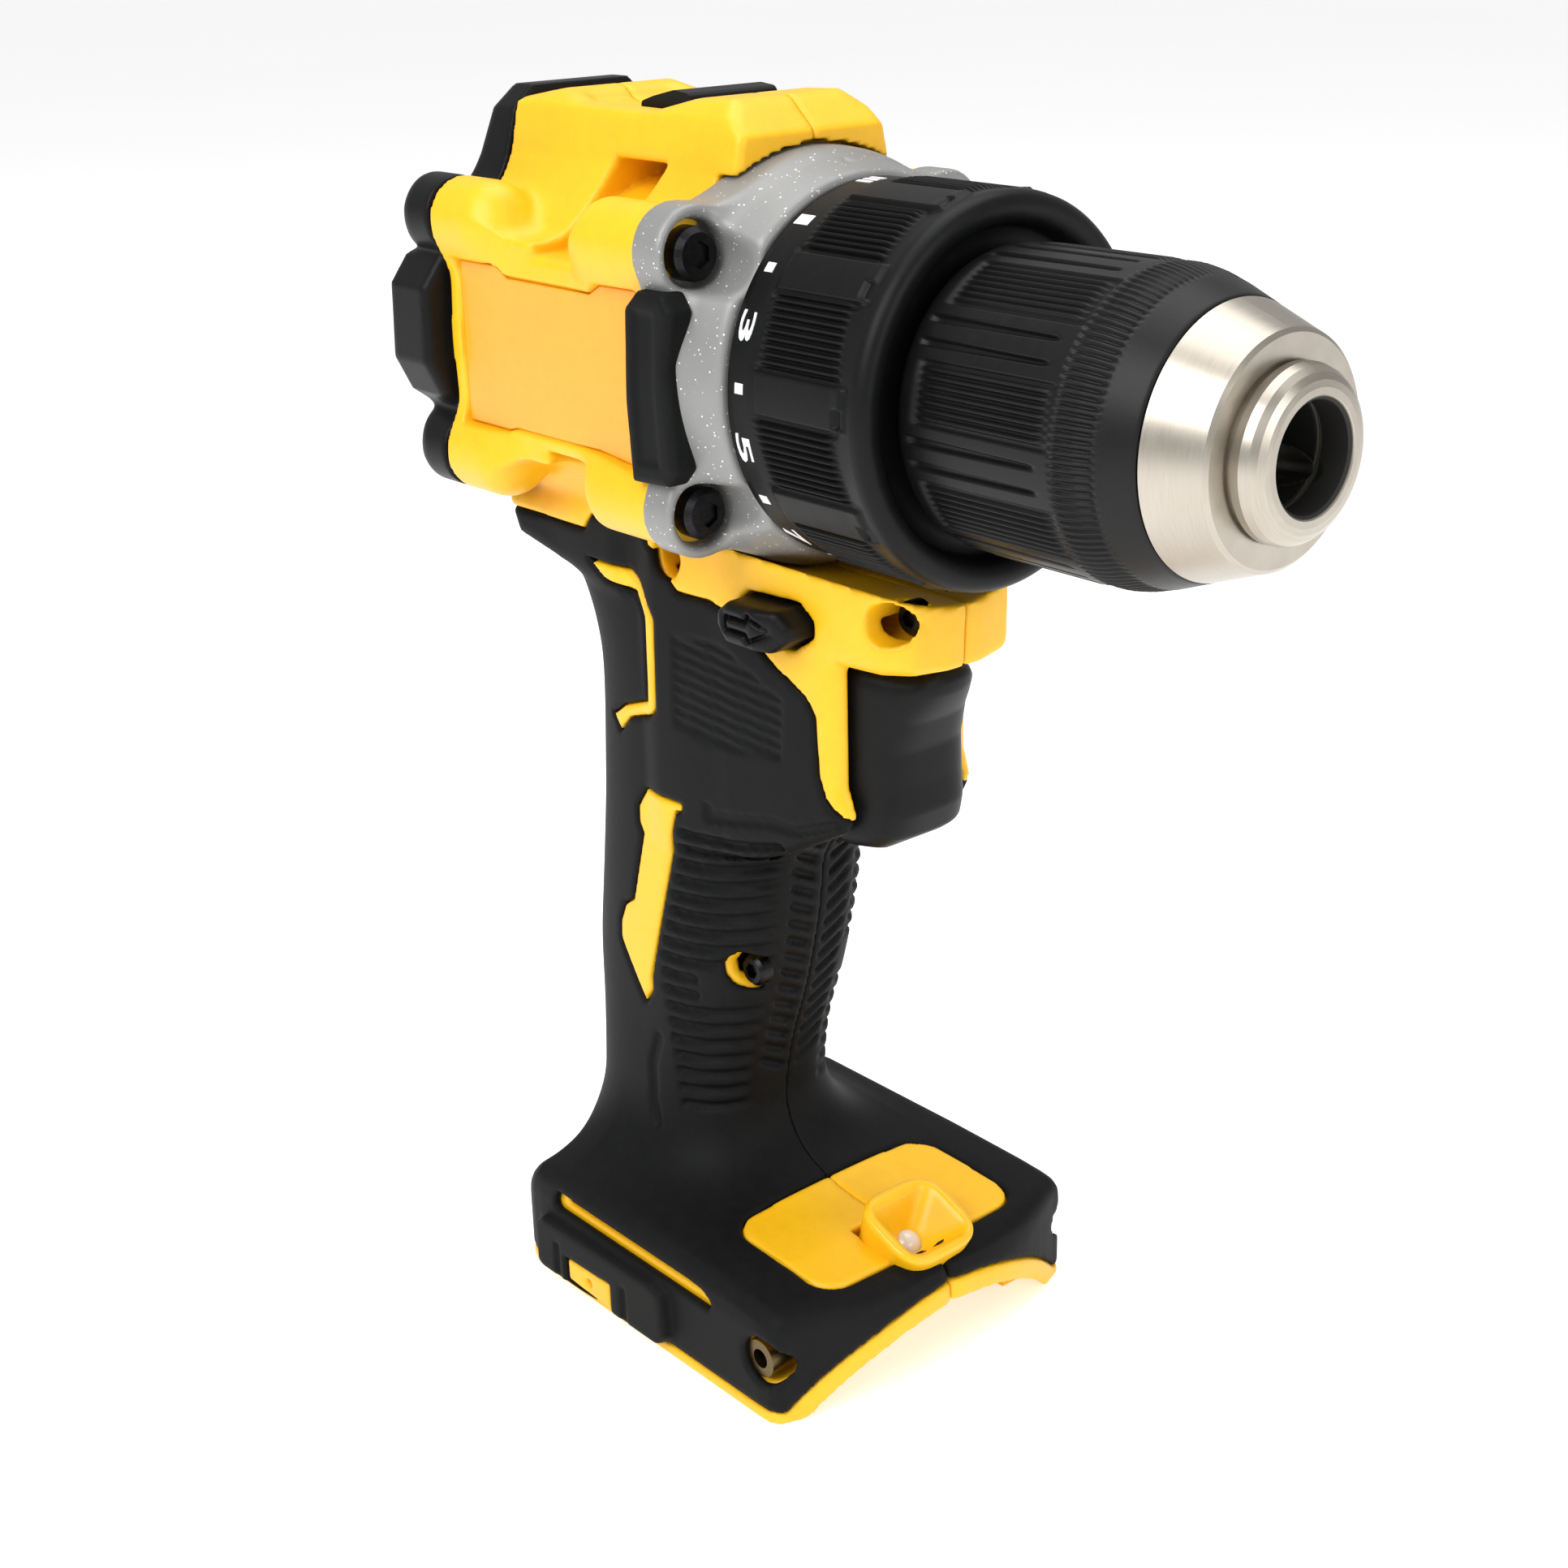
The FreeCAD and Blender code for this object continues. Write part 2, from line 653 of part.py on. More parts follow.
def cover():
    """Soft cover over grip, neck and foot."""
    body = body_form().cut(body_form(COVER))
    body = body.common(covered_side(0.0))
    body = body.cut(front_prism(drum_outline(SEAM), DRUM_REAR - 30, CASE_FRONT))
    body = cut_all(body, [battery_bay(), trigger_slot(), light_seat(), button_hole()])
    body = cut_all(body, [screw_well(*place) for place in SCREWS])
    body = body.cut(both_sides(hook_insert(RUN)))
    return body


# ---------------------------------------------------------------- light on the foot
def light_frame():
    """Placement whose Z axis is the work light's beam."""
    turn = FreeCAD.Rotation(Y, LIGHT_TILT)
    return FreeCAD.Placement(V(LIGHT_X, 0, LIGHT_Z), turn)


def placed(shape, placement):
    copy = shape.copy()
    copy.Placement = placement.multiply(copy.Placement)
    return copy


def light_seat():
    return placed(Part.makeCylinder(LIGHT_R + RUN, 40, V(0, 0, -6.0)), light_frame())


def light_bezel():
    body = Part.makeCone(LIGHT_R, LIGHT_R - 0.8, 13.5, V(0, 0, -5.9))
    funnel = Part.makeCone(3.6, LIGHT_R - 1.7, 8.5, V(0, 0, -0.8))
    seat = Part.makeCylinder(3.6, 6, V(0, 0, -6.0))
    return placed(body.cut(funnel).cut(seat), light_frame())


def led_lens():
    base = Part.makeCylinder(3.5, 2.2, V(0, 0, -3.4))
    dome = Part.makeSphere(3.0, V(0, 0, -1.4)).common(Part.makeCylinder(3.0, 4.0, V(0, 0, -1.5)))
    return placed(base.fuse(dome), light_frame())


def led_board():
    return placed(Part.makeCylinder(3.5, 1.2, V(0, 0, -4.7)), light_frame())


# ---------------------------------------------------------------- rear cap
def rear_cap():
    block = front_prism(drum_outline(), CAP_REAR, DRUM_REAR)
    side_view = side_prism([
        (DRUM_REAR + 1, 210.0, 0),
        (DRUM_REAR - 1.4, AXIS_Z + RIDGE_TOP, 1.0),
        (-54.0, 193.0, 8.0),
        (CAP_REAR, 184.0, 8.0),
        (CAP_REAR, 152.0, 4.0),
        (CAP_REAR + 3.5, 147.0, 4.0),
        (-52.0, 139.0, 6.0),
        (DRUM_REAR + 1, 134.0, 0),
    ], 50.0)
    plan_view = plan_prism([
        (DRUM_REAR + 1, -40.0, 0),
        (DRUM_REAR + 1, 40.0, 0),
        (DRUM_REAR - 4.0, 34.0, 3.0),
        (CAP_REAR, 26.5, 3.0),
        (CAP_REAR, -26.5, 3.0),
        (DRUM_REAR - 4.0, -34.0, 3.0),
    ], 100, 220)
    wing = front_prism([
        (DRUM_SIDE + 1.6, AXIS_Z + 8.0, 2.0),
        (DRUM_SIDE - 5.0, AXIS_Z + 8.0, 2.0),
        (DRUM_SIDE - 5.0, AXIS_Z - 9.0, 2.0),
        (DRUM_SIDE + 1.6, AXIS_Z - 9.0, 2.0),
    ], CAP_REAR, DRUM_REAR)
    body = block.common(side_view).common(plan_view)
    body = joined([body, wing, mirrored(wing)])
    body = body.cut(disc(DRUM_SIDE - DRUM_WALL - 2.0, CAP_REAR + 3.0, DRUM_REAR + 1))
    socket = tube(BEARING_R + 2.0, BEARING_R + RUN, CAP_REAR + 2.0, REAR_BEARING_X + BEARING_LENGTH)
    body = joined([body, socket])
    for i in range(7):
        y = -13.5 + i * 4.5
        slot = box(CAP_REAR - 1, CAP_REAR + 3.5, y - 0.9, y + 0.9, AXIS_Z - 16.0, AXIS_Z + 16.0)
        body = body.cut(slot.cut(disc(BEARING_R + 2.2, CAP_REAR - 2, DRUM_REAR)))
    for y, z in BOSSES:
        body = body.cut(disc(CASE_SCREW_R + RUN, CAP_REAR - 1, DRUM_REAR + 1, y, AXIS_Z + z))
        body = body.cut(disc(CASE_HEAD_R + RUN, CAP_REAR - 9, CAP_SCREW_X[0] + 2.4, y, AXIS_Z + z))
    return body


def rear_cap_screws():
    screws = []
    for y, z in BOSSES:
        shank = disc(CASE_SCREW_R, CAP_SCREW_X[0], CAP_SCREW_X[1] - 0.5, y, AXIS_Z + z)
        head = disc(CASE_HEAD_R, CAP_SCREW_X[0], CAP_SCREW_X[0] + 2.4, y, AXIS_Z + z)
        screws.append(head.fuse(shank).cut(disc(1.5, CAP_SCREW_X[0] - 1, CAP_SCREW_X[0] + 1.3, y, AXIS_Z + z)))
    return Part.Compound(screws)


# ---------------------------------------------------------------- gear case
TUBE_R = RING_R + TUBE_WALL


def case_form(grow=0.0):
    """Outside of the gear case: a flange like the drum, then a round nose with a pointer."""
    flange = front_prism(drum_outline(grow), DRUM_FRONT, CASE_FLANGE_FRONT + grow)
    taper = turned([
        (CASE_FLANGE_FRONT - 1, 0),
        (CASE_FLANGE_FRONT - 1, CASE_R + 1.8 + grow),
        (CASE_FLANGE_FRONT + 4.5, CASE_R + grow),
        (CASE_FRONT + grow, CASE_R + grow),
        (CASE_FRONT + grow, 0),
    ])
    pointer = front_prism([
        (6.5, AXIS_Z + 20.0, 0),
        (4.5, AXIS_Z + 33.5, 2.0),
        (-4.5, AXIS_Z + 33.5, 2.0),
        (-6.5, AXIS_Z + 20.0, 0),
    ], CASE_FLANGE_FRONT - 1, CASE_FRONT - 1.0)
    return joined([flange, taper, pointer])


def gear_case():
    body = case_form()
    body = body.cut(disc(TUBE_R - 1, DRUM_FRONT - 1, CASE_FRONT + 1))
    back = front_prism(drum_outline(-3.0), DRUM_FRONT - 1, DRUM_FRONT + 3.0)
    body = body.cut(back.cut(disc(TUBE_R, DRUM_FRONT - 2, DRUM_FRONT + 4)))
    barrel = tube(TUBE_R, RING_R + RUN, 3.0, TUBE_FRONT)
    front = tube(TUBE_R, SPINDLE_R + 1.2, TUBE_FRONT, SPINDLE_BEARING_X[0])
    nose = tube(NECK_R, SPINDLE_BEARING_R, SPINDLE_BEARING_X[0], SPINDLE_BEARING_X[1])
    body = joined([body, barrel, front, nose])
    slot_x = STAGE_X[1][0] - RING_SHIFT - 1.0
    body = body.cut(box(slot_x, STAGE_X[1][1] + 1.0, -2.6, 2.6, AXIS_Z + RING_R - 1, AXIS_Z + TUBE_R + 2.0))
    body = body.cut(box(DRUM_FRONT - 1, STAGE_X[1][1] + 1.0, -2.6, 2.6, AXIS_Z + TUBE_R - 2, FORK_Z + FORK_THICK + FREE))
    for y, z in BOSSES:
        body = body.cut(disc(CASE_SCREW_R + RUN, DRUM_FRONT - 1, CASE_FRONT, y, AXIS_Z + z))
        body = body.cut(disc(CASE_HEAD_R + 0.4, CASE_SCREW_X[1] - 2.4, CASE_FRONT + 9, y, AXIS_Z + z))
    return body.cut(both_sides(side_bumper(SEAM)))


def gear_case_screws():
    screws = []
    for y, z in BOSSES:
        shank = disc(CASE_SCREW_R, CASE_SCREW_X[0] + 0.5, CASE_SCREW_X[1], y, AXIS_Z + z)
        head = disc(CASE_HEAD_R, CASE_SCREW_X[1] - 2.4, CASE_SCREW_X[1], y, AXIS_Z + z)
        drive = disc(1.6, CASE_SCREW_X[1] - 1.4, CASE_SCREW_X[1] + 1, y, AXIS_Z + z)
        screws.append(head.fuse(shank).cut(drive))
    return Part.Compound(screws)


def side_bumper(extra=0.0):
    """Soft bar let into the side of the gear case."""
    outline = [
        (-DRUM_SIDE - 1.8 - extra, AXIS_Z - 13.0 - extra, 0.8),
        (-DRUM_SIDE + 1.6 + extra, AXIS_Z - 13.0 - extra, 0.2),
        (-DRUM_SIDE + 1.6 + extra, AXIS_Z + 13.0 + extra, 0.2),
        (-DRUM_SIDE - 1.8 - extra, AXIS_Z + 13.0 + extra, 0.8),
    ]
    return front_prism(outline, 7.6 - extra, 12.6 + extra)


def clutch_collar():
    """Numbered torque ring with raised pads and fine ribs between them."""
    inner = COLLAR_R - COLLAR_WALL
    body = turned([
        (COLLAR_REAR, inner),
        (COLLAR_REAR, COLLAR_R - 0.4),
        (COLLAR_REAR + 0.4, COLLAR_R),
        (COLLAR_REAR + 5.5, COLLAR_R),
        (COLLAR_FRONT - 3.0, COLLAR_R - 0.7),
        (COLLAR_FRONT, COLLAR_R - 3.4),
        (COLLAR_FRONT, COLLAR_WELL_R),
        (COLLAR_WEB_X[1], COLLAR_WELL_R),
        (COLLAR_WEB_X[1], NECK_R + SLIDE),
        (COLLAR_WEB_X[0], NECK_R + SLIDE),
        (COLLAR_WEB_X[0], inner),
    ])
    grooves = []
    for pad in range(6):
        for i in range(7):
            angle = pad * 60 + 12 + i * 6
            cutter = box(COLLAR_REAR + 8.5, COLLAR_FRONT - 4.0, -0.7, 0.7, AXIS_Z + COLLAR_R - 1.2, AXIS_Z + 40)
            grooves.append(spun(cutter, angle))
    body = body.cut(Part.Compound(grooves))
    keys = []
    for i in range(CLUTCH_TEETH // 4):
        key = box(CLUTCH_NUT_X[0] - 6.0, COLLAR_WEB_X[0], -1.2, 1.2, AXIS_Z + inner - 1.4, AXIS_Z + inner + 0.5)
        keys.append(spun(key, i * 360 * 4 / CLUTCH_TEETH))
    return joined([body] + keys)


def clutch_nut():
    """Threaded ring that the collar turns and that loads the clutch spring."""
    inner = COLLAR_R - COLLAR_WALL
    body = tube(inner - FREE, TUBE_R + SLIDE, CLUTCH_NUT_X[0], CLUTCH_NUT_X[1])
    for i in range(CLUTCH_TEETH // 4):
        notch = box(CLUTCH_NUT_X[0] - 1, CLUTCH_NUT_X[1] + 1, -1.5, 1.5, AXIS_Z + inner - 1.8, AXIS_Z + inner + 1)
        body = body.cut(spun(notch, i * 360 * 4 / CLUTCH_TEETH))
    return body


def clutch_spring():
    """Coil spring drawn as its closed outer shape, between the case and the nut."""
    return tube(TUBE_R + 2.6, TUBE_R + SLIDE, CASE_FRONT + 0.1, CLUTCH_NUT_X[0] - 0.1)


# ---------------------------------------------------------------- speed selector
def selector_slot():
    """Recess in the top ridge with the slot that the selector slides in."""
    x0, x1 = SELECTOR_X
    top = AXIS_Z + RIDGE_TOP
    recess = side_prism([
        (-40.0, top + 5, 0),
        (-38.0, top - 3.2, 2.0),
        (x1 + SLIDE, top - 3.2, 0),
        (x1 + SLIDE, top + 5, 0),
    ], 9.5)
    slot = box(x0 - RING_SHIFT - SLIDE, x1 + SLIDE, -3.5, 3.5, top - 12, top)
    return recess.fuse(slot)


def speed_selector():
    """Thumb slide in the top ridge; forward is speed 1."""
    x0, x1 = SELECTOR_X
    top = AXIS_Z + RIDGE_TOP
    pad = side_prism([
        (x0, top - 2.9, 0.5),
        (x1, top - 2.9, 0.5),
        (x1, top - 0.2, 1.2),
        (x1 - 4.0, top + 0.2, 2.0),
        (x0 + 3.0, top - 0.9, 2.0),
        (x0, top - 1.8, 0.8),
    ], SELECTOR_HALF)
    stem = box(x0 + 3.0, x1 - 3.0, -3.2, 3.2, FORK_Z + FORK_THICK, top - 2.9)
    return joined([pad, stem])


FORK_Z = AXIS_Z + STATOR_R + 0.6
FORK_THICK = 2.2


def shift_fork():
    """Bar that carries the selector's travel to the sliding ring gear."""
    rod = box(SELECTOR_X[0] + 3.2, STAGE_X[1][1], -2.0, 2.0, FORK_Z, FORK_Z + FORK_THICK)
    pin = box(STAGE_X[1][0] + 0.2, STAGE_X[1][1], -2.0, 2.0, AXIS_Z + RING_R, FORK_Z + FORK_THICK)
    return joined([rod, pin])


# ---------------------------------------------------------------- motor
def stator_core():
    body = tube(STATOR_R, ROTOR_R + AIR_GAP, STATOR_X0, STATOR_X1)
    for i in range(6):
        slot = front_prism([
            (-3.8, AXIS_Z + ROTOR_R + 2.4, 1.0),
            (3.8, AXIS_Z + ROTOR_R + 2.4, 1.0),
            (5.4, AXIS_Z + STATOR_R - 3.4, 1.5),
            (-5.4, AXIS_Z + STATOR_R - 3.4, 1.5),
        ], STATOR_X0 - 1, STATOR_X1 + 1)
        mouth = box(STATOR_X0 - 1, STATOR_X1 + 1, -0.9, 0.9, AXIS_Z, AXIS_Z + ROTOR_R + 3)
        body = body.cut(spun(slot.fuse(mouth), i * 60))
    return body


def stator_coils():
    coils = []
    for i in range(6):
        bar = front_prism([
            (-3.5, AXIS_Z + ROTOR_R + 2.7, 1.0),
            (3.5, AXIS_Z + ROTOR_R + 2.7, 1.0),
            (5.0, AXIS_Z + STATOR_R - 3.7, 1.5),
            (-5.0, AXIS_Z + STATOR_R - 3.7, 1.5),
        ], STATOR_X0, STATOR_X1)
        coils.append(spun(bar, i * 60))
    for x0, x1 in ((STATOR_X0 - 2.6, STATOR_X0), (STATOR_X1, STATOR_X1 + 2.6)):
        coils.append(tube(STATOR_R - 3.7, ROTOR_R + 2.7, x0, x1))
    return joined(coils)


def sensor_board():
    return tube(STATOR_R - 1.5, BEARING_R + 3.0, STATOR_X0 - 4.4, STATOR_X0 - 2.8)


def rotor_core():
    core = tube(ROTOR_R, SHAFT_R, STATOR_X0 + 0.5, STATOR_X1 - 0.5)
    holes = [disc(1.6, STATOR_X0 - 1, STATOR_X1 + 1, 7.5 * math.cos(a), AXIS_Z + 7.5 * math.sin(a))
             for a in (math.pi * i / 4 for i in range(8))]
    return cut_all(core, holes)


def rotor_shaft():
    return disc(SHAFT_R, REAR_BEARING_X - 0.6, STAGE_X[0][1] + 0.3)


def sun_gear():
    return sun(0, STAGE_X[0][0] - 0.3, STAGE_X[0][1] + 0.3).cut(disc(SHAFT_R, -10, 20))


def cooling_fan():
    hub = tube(5.0, SHAFT_R, FAN_X0, FAN_X1)
    back = tube(FAN_R, SHAFT_R, FAN_X1 - 1.2, FAN_X1)
    blades = []
    for i in range(9):
        blade = box(FAN_X0, FAN_X1 - 1.0, -0.6, 0.6, AXIS_Z + 4.5, AXIS_Z + FAN_R - 0.6)
        blade.rotate(V(0, 0, AXIS_Z + 4.5), X, 24)
        blades.append(spun(blade, i * 40))
    return joined([hub, back] + blades).common(disc(FAN_R, FAN_X0, FAN_X1))


def motor_bearings():
    rear = tube(BEARING_R, SHAFT_R + 0.02, REAR_BEARING_X, REAR_BEARING_X + BEARING_LENGTH)
    front = tube(BEARING_R, SHAFT_R + 0.02, FRONT_BEARING_X, FRONT_BEARING_X + BEARING_LENGTH)
    return Part.Compound([rear, front])


def motor_plate():
    """Plate between motor and gears that holds the front motor bearing."""
    plate = tube(DRUM_SIDE - DRUM_WALL - RUN, BEARING_R + RUN, FRONT_BEARING_X + 1.2, 2.8)
    return plate.cut(box(-10, 10, -2.6, 2.6, FORK_Z - FREE, FORK_Z + 10))


# ---------------------------------------------------------------- spindle and chuck
def spindle():
    plate = carrier(2)
    shaft = disc(SPINDLE_R, CARRIER_X[2][1] - 1, CHUCK_REAR + 9.0)
    return joined([plate, shaft])


def spindle_bearing():
    return tube(SPINDLE_BEARING_R, SPINDLE_R + 0.02, SPINDLE_BEARING_X[0], SPINDLE_BEARING_X[1])


def jaw_place(number):
    """Placement with its Z axis along the jaw, from the jaw's tip at rest, pointing back."""
    slant = math.radians(JAW_SLANT)
    back = V(-math.cos(slant), 0, math.sin(slant))
    tip = V(JAW_TIP_X, 0, AXIS_Z + BORE_R + JAW_DEPTH)
    base = FreeCAD.Placement(tip, FreeCAD.Rotation(Z, back))
    turn = FreeCAD.Placement(V(0, 0, 0), FreeCAD.Rotation(X, 120 * number), V(0, 0, AXIS_Z))
    return turn.multiply(base)


def jaw(number):
    body = placed(Part.makeCylinder(JAW_R, JAW_LENGTH), jaw_place(number))
    edge_r = BORE_R + 0.05
    reach = 30.0
    wedge = front_prism([
        (0.0, AXIS_Z + edge_r, 0),
        (reach * math.tan(math.radians(60)), AXIS_Z + edge_r + reach, 0),
        (-reach * math.tan(math.radians(60)), AXIS_Z + edge_r + reach, 0),
    ], JAW_TIP_X - JAW_LENGTH - 5, JAW_TIP_X - 0.4)
    body = body.common(spun(wedge, 120 * number))
    return body.common(disc(SLEEVE_R - SLEEVE_WALL - SLIDE, 40, 110))


def chuck_body():
    mouth_back = NOSE_X - 0.6 - MOUTH_LENGTH
    body = turned([
        (CHUCK_REAR, SPINDLE_R),
        (CHUCK_REAR, 13.0),
        (CHUCK_REAR + 3.0, CHUCK_BODY_R),
        (CONE_X[0], CHUCK_BODY_R),
        (CONE_X[0], CONE_R0),
        (CONE_X[1] - 0.5, CONE_R1 + 0.2),
        (CONE_X[1], CONE_R1 - 0.4),
        (CONE_X[1], NOSE_R - 0.5),
        (CONE_X[1] + 0.6, NOSE_R - 0.5),
        (CONE_X[1] + 0.6, NOSE_R),
        (NOSE_X - 2.8, NOSE_R),
        (NOSE_X - 1.6, NOSE_R - 0.35),
        (NOSE_X - 0.7, NOSE_R - 1.0),
        (NOSE_X - 0.15, NOSE_R - 1.9),
        (NOSE_X, NOSE_R - 2.8),
        (NOSE_X, BORE_R + 0.6),
        (NOSE_X - 0.6, BORE_R),
        (mouth_back, BORE_R),
        (mouth_back, BORE_R + GROOVE[1]),
        (mouth_back - GROOVE[0], BORE_R + GROOVE[1]),
        (mouth_back - GROOVE[0], BORE_R),
        (CHUCK_REAR + 11.0, BORE_R),
        (CHUCK_REAR + 9.0, SPINDLE_R),
    ])
    for number in range(3):
        hole = placed(Part.makeCylinder(JAW_R + RUN, JAW_LENGTH + JAW_WAY + 4, V(0, 0, -JAW_WAY)), jaw_place(number))
        body = body.cut(hole)
    return body


def chuck_nut():
    return tube(SLEEVE_R - SLEEVE_WALL, NUT_BORE, NUT_X[0], NUT_X[1])


def chuck_sleeve():
    inner = SLEEVE_R - SLEEVE_WALL
    x0, x1 = SLEEVE_X
    body = turned([
        (x0, CHUCK_BODY_R + SLIDE),
        (x0, SLEEVE_R - 1.6),
        (x0 + 1.4, SLEEVE_R),
        (x1 - 9.0, SLEEVE_R),
        (x1, CONE_R0 + 0.2),
        (x1, CHUCK_BODY_R + SLIDE),
        (x1 - 9.0, inner),
        (x0 + 2.4, inner),
        (x0 + 2.4, CHUCK_BODY_R + SLIDE),
    ])
    grooves = []
    for i in range(24):
        cutter = box(x0 + 6.0, x1 - 14.0, -0.6, 0.6, AXIS_Z + SLEEVE_R - 0.6, AXIS_Z + 40)
        grooves.append(spun(cutter, i * 15))
    return body.cut(Part.Compound(grooves))


# ---------------------------------------------------------------- trigger, switch, direction
NOTCH = (2.0, 6.0)         # depth and half width of the trigger's room for the direction lever


def trigger():
    body = side_prism(TRIGGER_OUTLINE, TRIGGER_HALF)
    rounding = plan_prism([
        (15.0, -TRIGGER_HALF, 0),
        (39.6, -TRIGGER_HALF, 9.0),
        (39.6, TRIGGER_HALF, 9.0),
        (15.0, TRIGGER_HALF, 0),
    ], 80, 130)
    body = body.common(rounding)
    notch = box(TRIGGER_BACK - 1, TRIGGER_BACK + NOTCH[0], -NOTCH[1], NOTCH[1], SWITCH_Z[1], TRIGGER_TOP + 1)
    return body.cut(notch)


def trigger_spring():
    outer = Part.makeCylinder(2.6, TRIGGER_BACK - SWITCH_X[1], V(SWITCH_X[1], 0, 109.0), X)
    return outer.cut(Part.makeCylinder(1.9, 40, V(SWITCH_X[1] - 5, 0, 109.0), X))


def switch_body():
    return box(SWITCH_X[0], SWITCH_X[1], -SWITCH_HALF, SWITCH_HALF, SWITCH_Z[0], SWITCH_Z[1])


LEVER_X = 5.0
LEVER_REACH = 8.0         # from the lever's pivot to the pin in the button's slot
LEVER_PIN = 1.5


def direction_button():
    reach = NECK_HALF + BUTTON_OUT
    bar = front_prism([
        (-reach, BUTTON_Z[0], 1.4),
        (reach, BUTTON_Z[0], 1.4),
        (reach, BUTTON_Z[1], 1.4),
        (-reach, BUTTON_Z[1], 1.4),
    ], BUTTON_X[0], BUTTON_X[1])
    slot = box(BUTTON_X[0] + 1.0, BUTTON_X[0] + 7.0, -LEVER_PIN - SLIDE, LEVER_PIN + SLIDE,
               BUTTON_Z[0] - 1, BUTTON_Z[0] + 4.2)
    return bar.cut(slot)


def direction_lever():
    """Small lever on the switch that the direction button swings."""
    hub = Part.makeCylinder(2.6, 2.4, V(LEVER_X, 0, SWITCH_Z[1] + 0.3), Z)
    arm = box(LEVER_X, LEVER_X + LEVER_REACH, -1.5, 1.5, SWITCH_Z[1] + 0.3, SWITCH_Z[1] + 2.7)
    tip = Part.makeCylinder(LEVER_PIN, 5.4, V(LEVER_X + LEVER_REACH, 0, SWITCH_Z[1] + 0.3), Z)
    return joined([hub, arm, tip])


# ---------------------------------------------------------------- electrics in grip and foot
def control_board():
    return box(-33.0, -8.0, -9.0, 9.0, 30.0, 33.0)


TERMINAL_X = (-24.0, 0.0)
TERMINAL_HALF = 15.0
TERMINAL_Z = (7.0, 15.5)
BLADE_Y = (-10.5, -3.5, 3.5, 10.5)


def terminal_room():
    x0, x1 = TERMINAL_X
    z0, z1 = TERMINAL_Z
    return box(x0 - RUN, x1 + RUN, -TERMINAL_HALF - RUN, TERMINAL_HALF + RUN, z0, z1 + RUN)


def terminal_block():
    body = box(TERMINAL_X[0], TERMINAL_X[1], -TERMINAL_HALF, TERMINAL_HALF, TERMINAL_Z[0], TERMINAL_Z[1])
    for y in BLADE_Y:
        body = body.cut(box(-10.0, 1.0, y - 1.4, y + 1.4, TERMINAL_Z[0] - 1, TERMINAL_Z[0] + 4.0))
    return body


def terminal_blades():
    return Part.Compound([box(-10.0, -1.0, y - 0.4, y + 0.4, TERMINAL_Z[0] + 0.2, TERMINAL_Z[0] + 3.6)
                          for y in BLADE_Y])


# ---------------------------------------------------------------- write every sub-part
case = housing()
soft = cover()
for side, word in ((-1, "right"), (1, "left")):
    room = half_space(side)
    write("housing_" + word, case.common(room))
    write("grip_cover_" + word, soft.common(room))
    bumper = side_bumper() if side < 0 else mirrored(side_bumper())
    write("side_bumper_" + word, bumper)

write("housing_screws", Part.Compound([screw_line(*place) for place in SCREWS]))
write("label_panels", both_sides(label_plate(0.0)))
write("hook_inserts", both_sides(hook_insert()))
write("rear_cap", rear_cap())
write("rear_cap_screws", rear_cap_screws())
write("gear_case", gear_case())
write("gear_case_screws", gear_case_screws())
write("light_bezel", light_bezel())
write("led_lens", led_lens())
write("led_board", led_board())
write("clutch_collar", clutch_collar())
write("clutch_nut", clutch_nut())
write("clutch_spring", clutch_spring())
write("speed_selector", speed_selector())
write("shift_fork", shift_fork())
write("stator_core", stator_core())
write("stator_coils", stator_coils())
write("sensor_board", sensor_board())
write("rotor_core", rotor_core())
write("rotor_shaft", rotor_shaft())
write("sun_gear", sun_gear())
write("cooling_fan", cooling_fan())
write("motor_bearings", motor_bearings())
write("motor_plate", motor_plate())
for stage in range(3):
    write("ring_gear_" + str(stage + 1), ring_gear(stage))
    for number, letter in enumerate("abc"):
        write("planet_" + str(stage + 1) + letter, planet(stage, number))
for stage in range(2):
    x1 = STAGE_X[stage + 1][1] + 0.1
    write("carrier_" + str(stage + 1), joined([carrier(stage), sun(stage + 1, CARRIER_X[stage][1] - 0.5, x1)]))
write("spindle", spindle())
write("spindle_bearing", spindle_bearing())
write("chuck_body", chuck_body())
write("chuck_sleeve", chuck_sleeve())
write("chuck_nut", chuck_nut())
for number in range(3):
    write("jaw_" + str(number + 1), jaw(number))
write("trigger", trigger())
write("trigger_spring", trigger_spring())
write("switch_body", switch_body())
write("direction_button", direction_button())
write("direction_lever", direction_lever())
write("control_board", control_board())
write("terminal_block", terminal_block())
write("terminal_blades", terminal_blades())
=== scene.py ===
# %% [markdown]
# # A cordless drill, dressed on its working model
# The working model already holds every size, joint and moving part of the drill.
# This lesson gives it the skin of the real tool: moulded shells with soft blends,
# a ribbed soft grip, a numbered collar, a grooved chuck and the finish of each.

import json
import math

import bpy
import numpy as np
import openvdb as vdb
from mathutils import Matrix, Vector


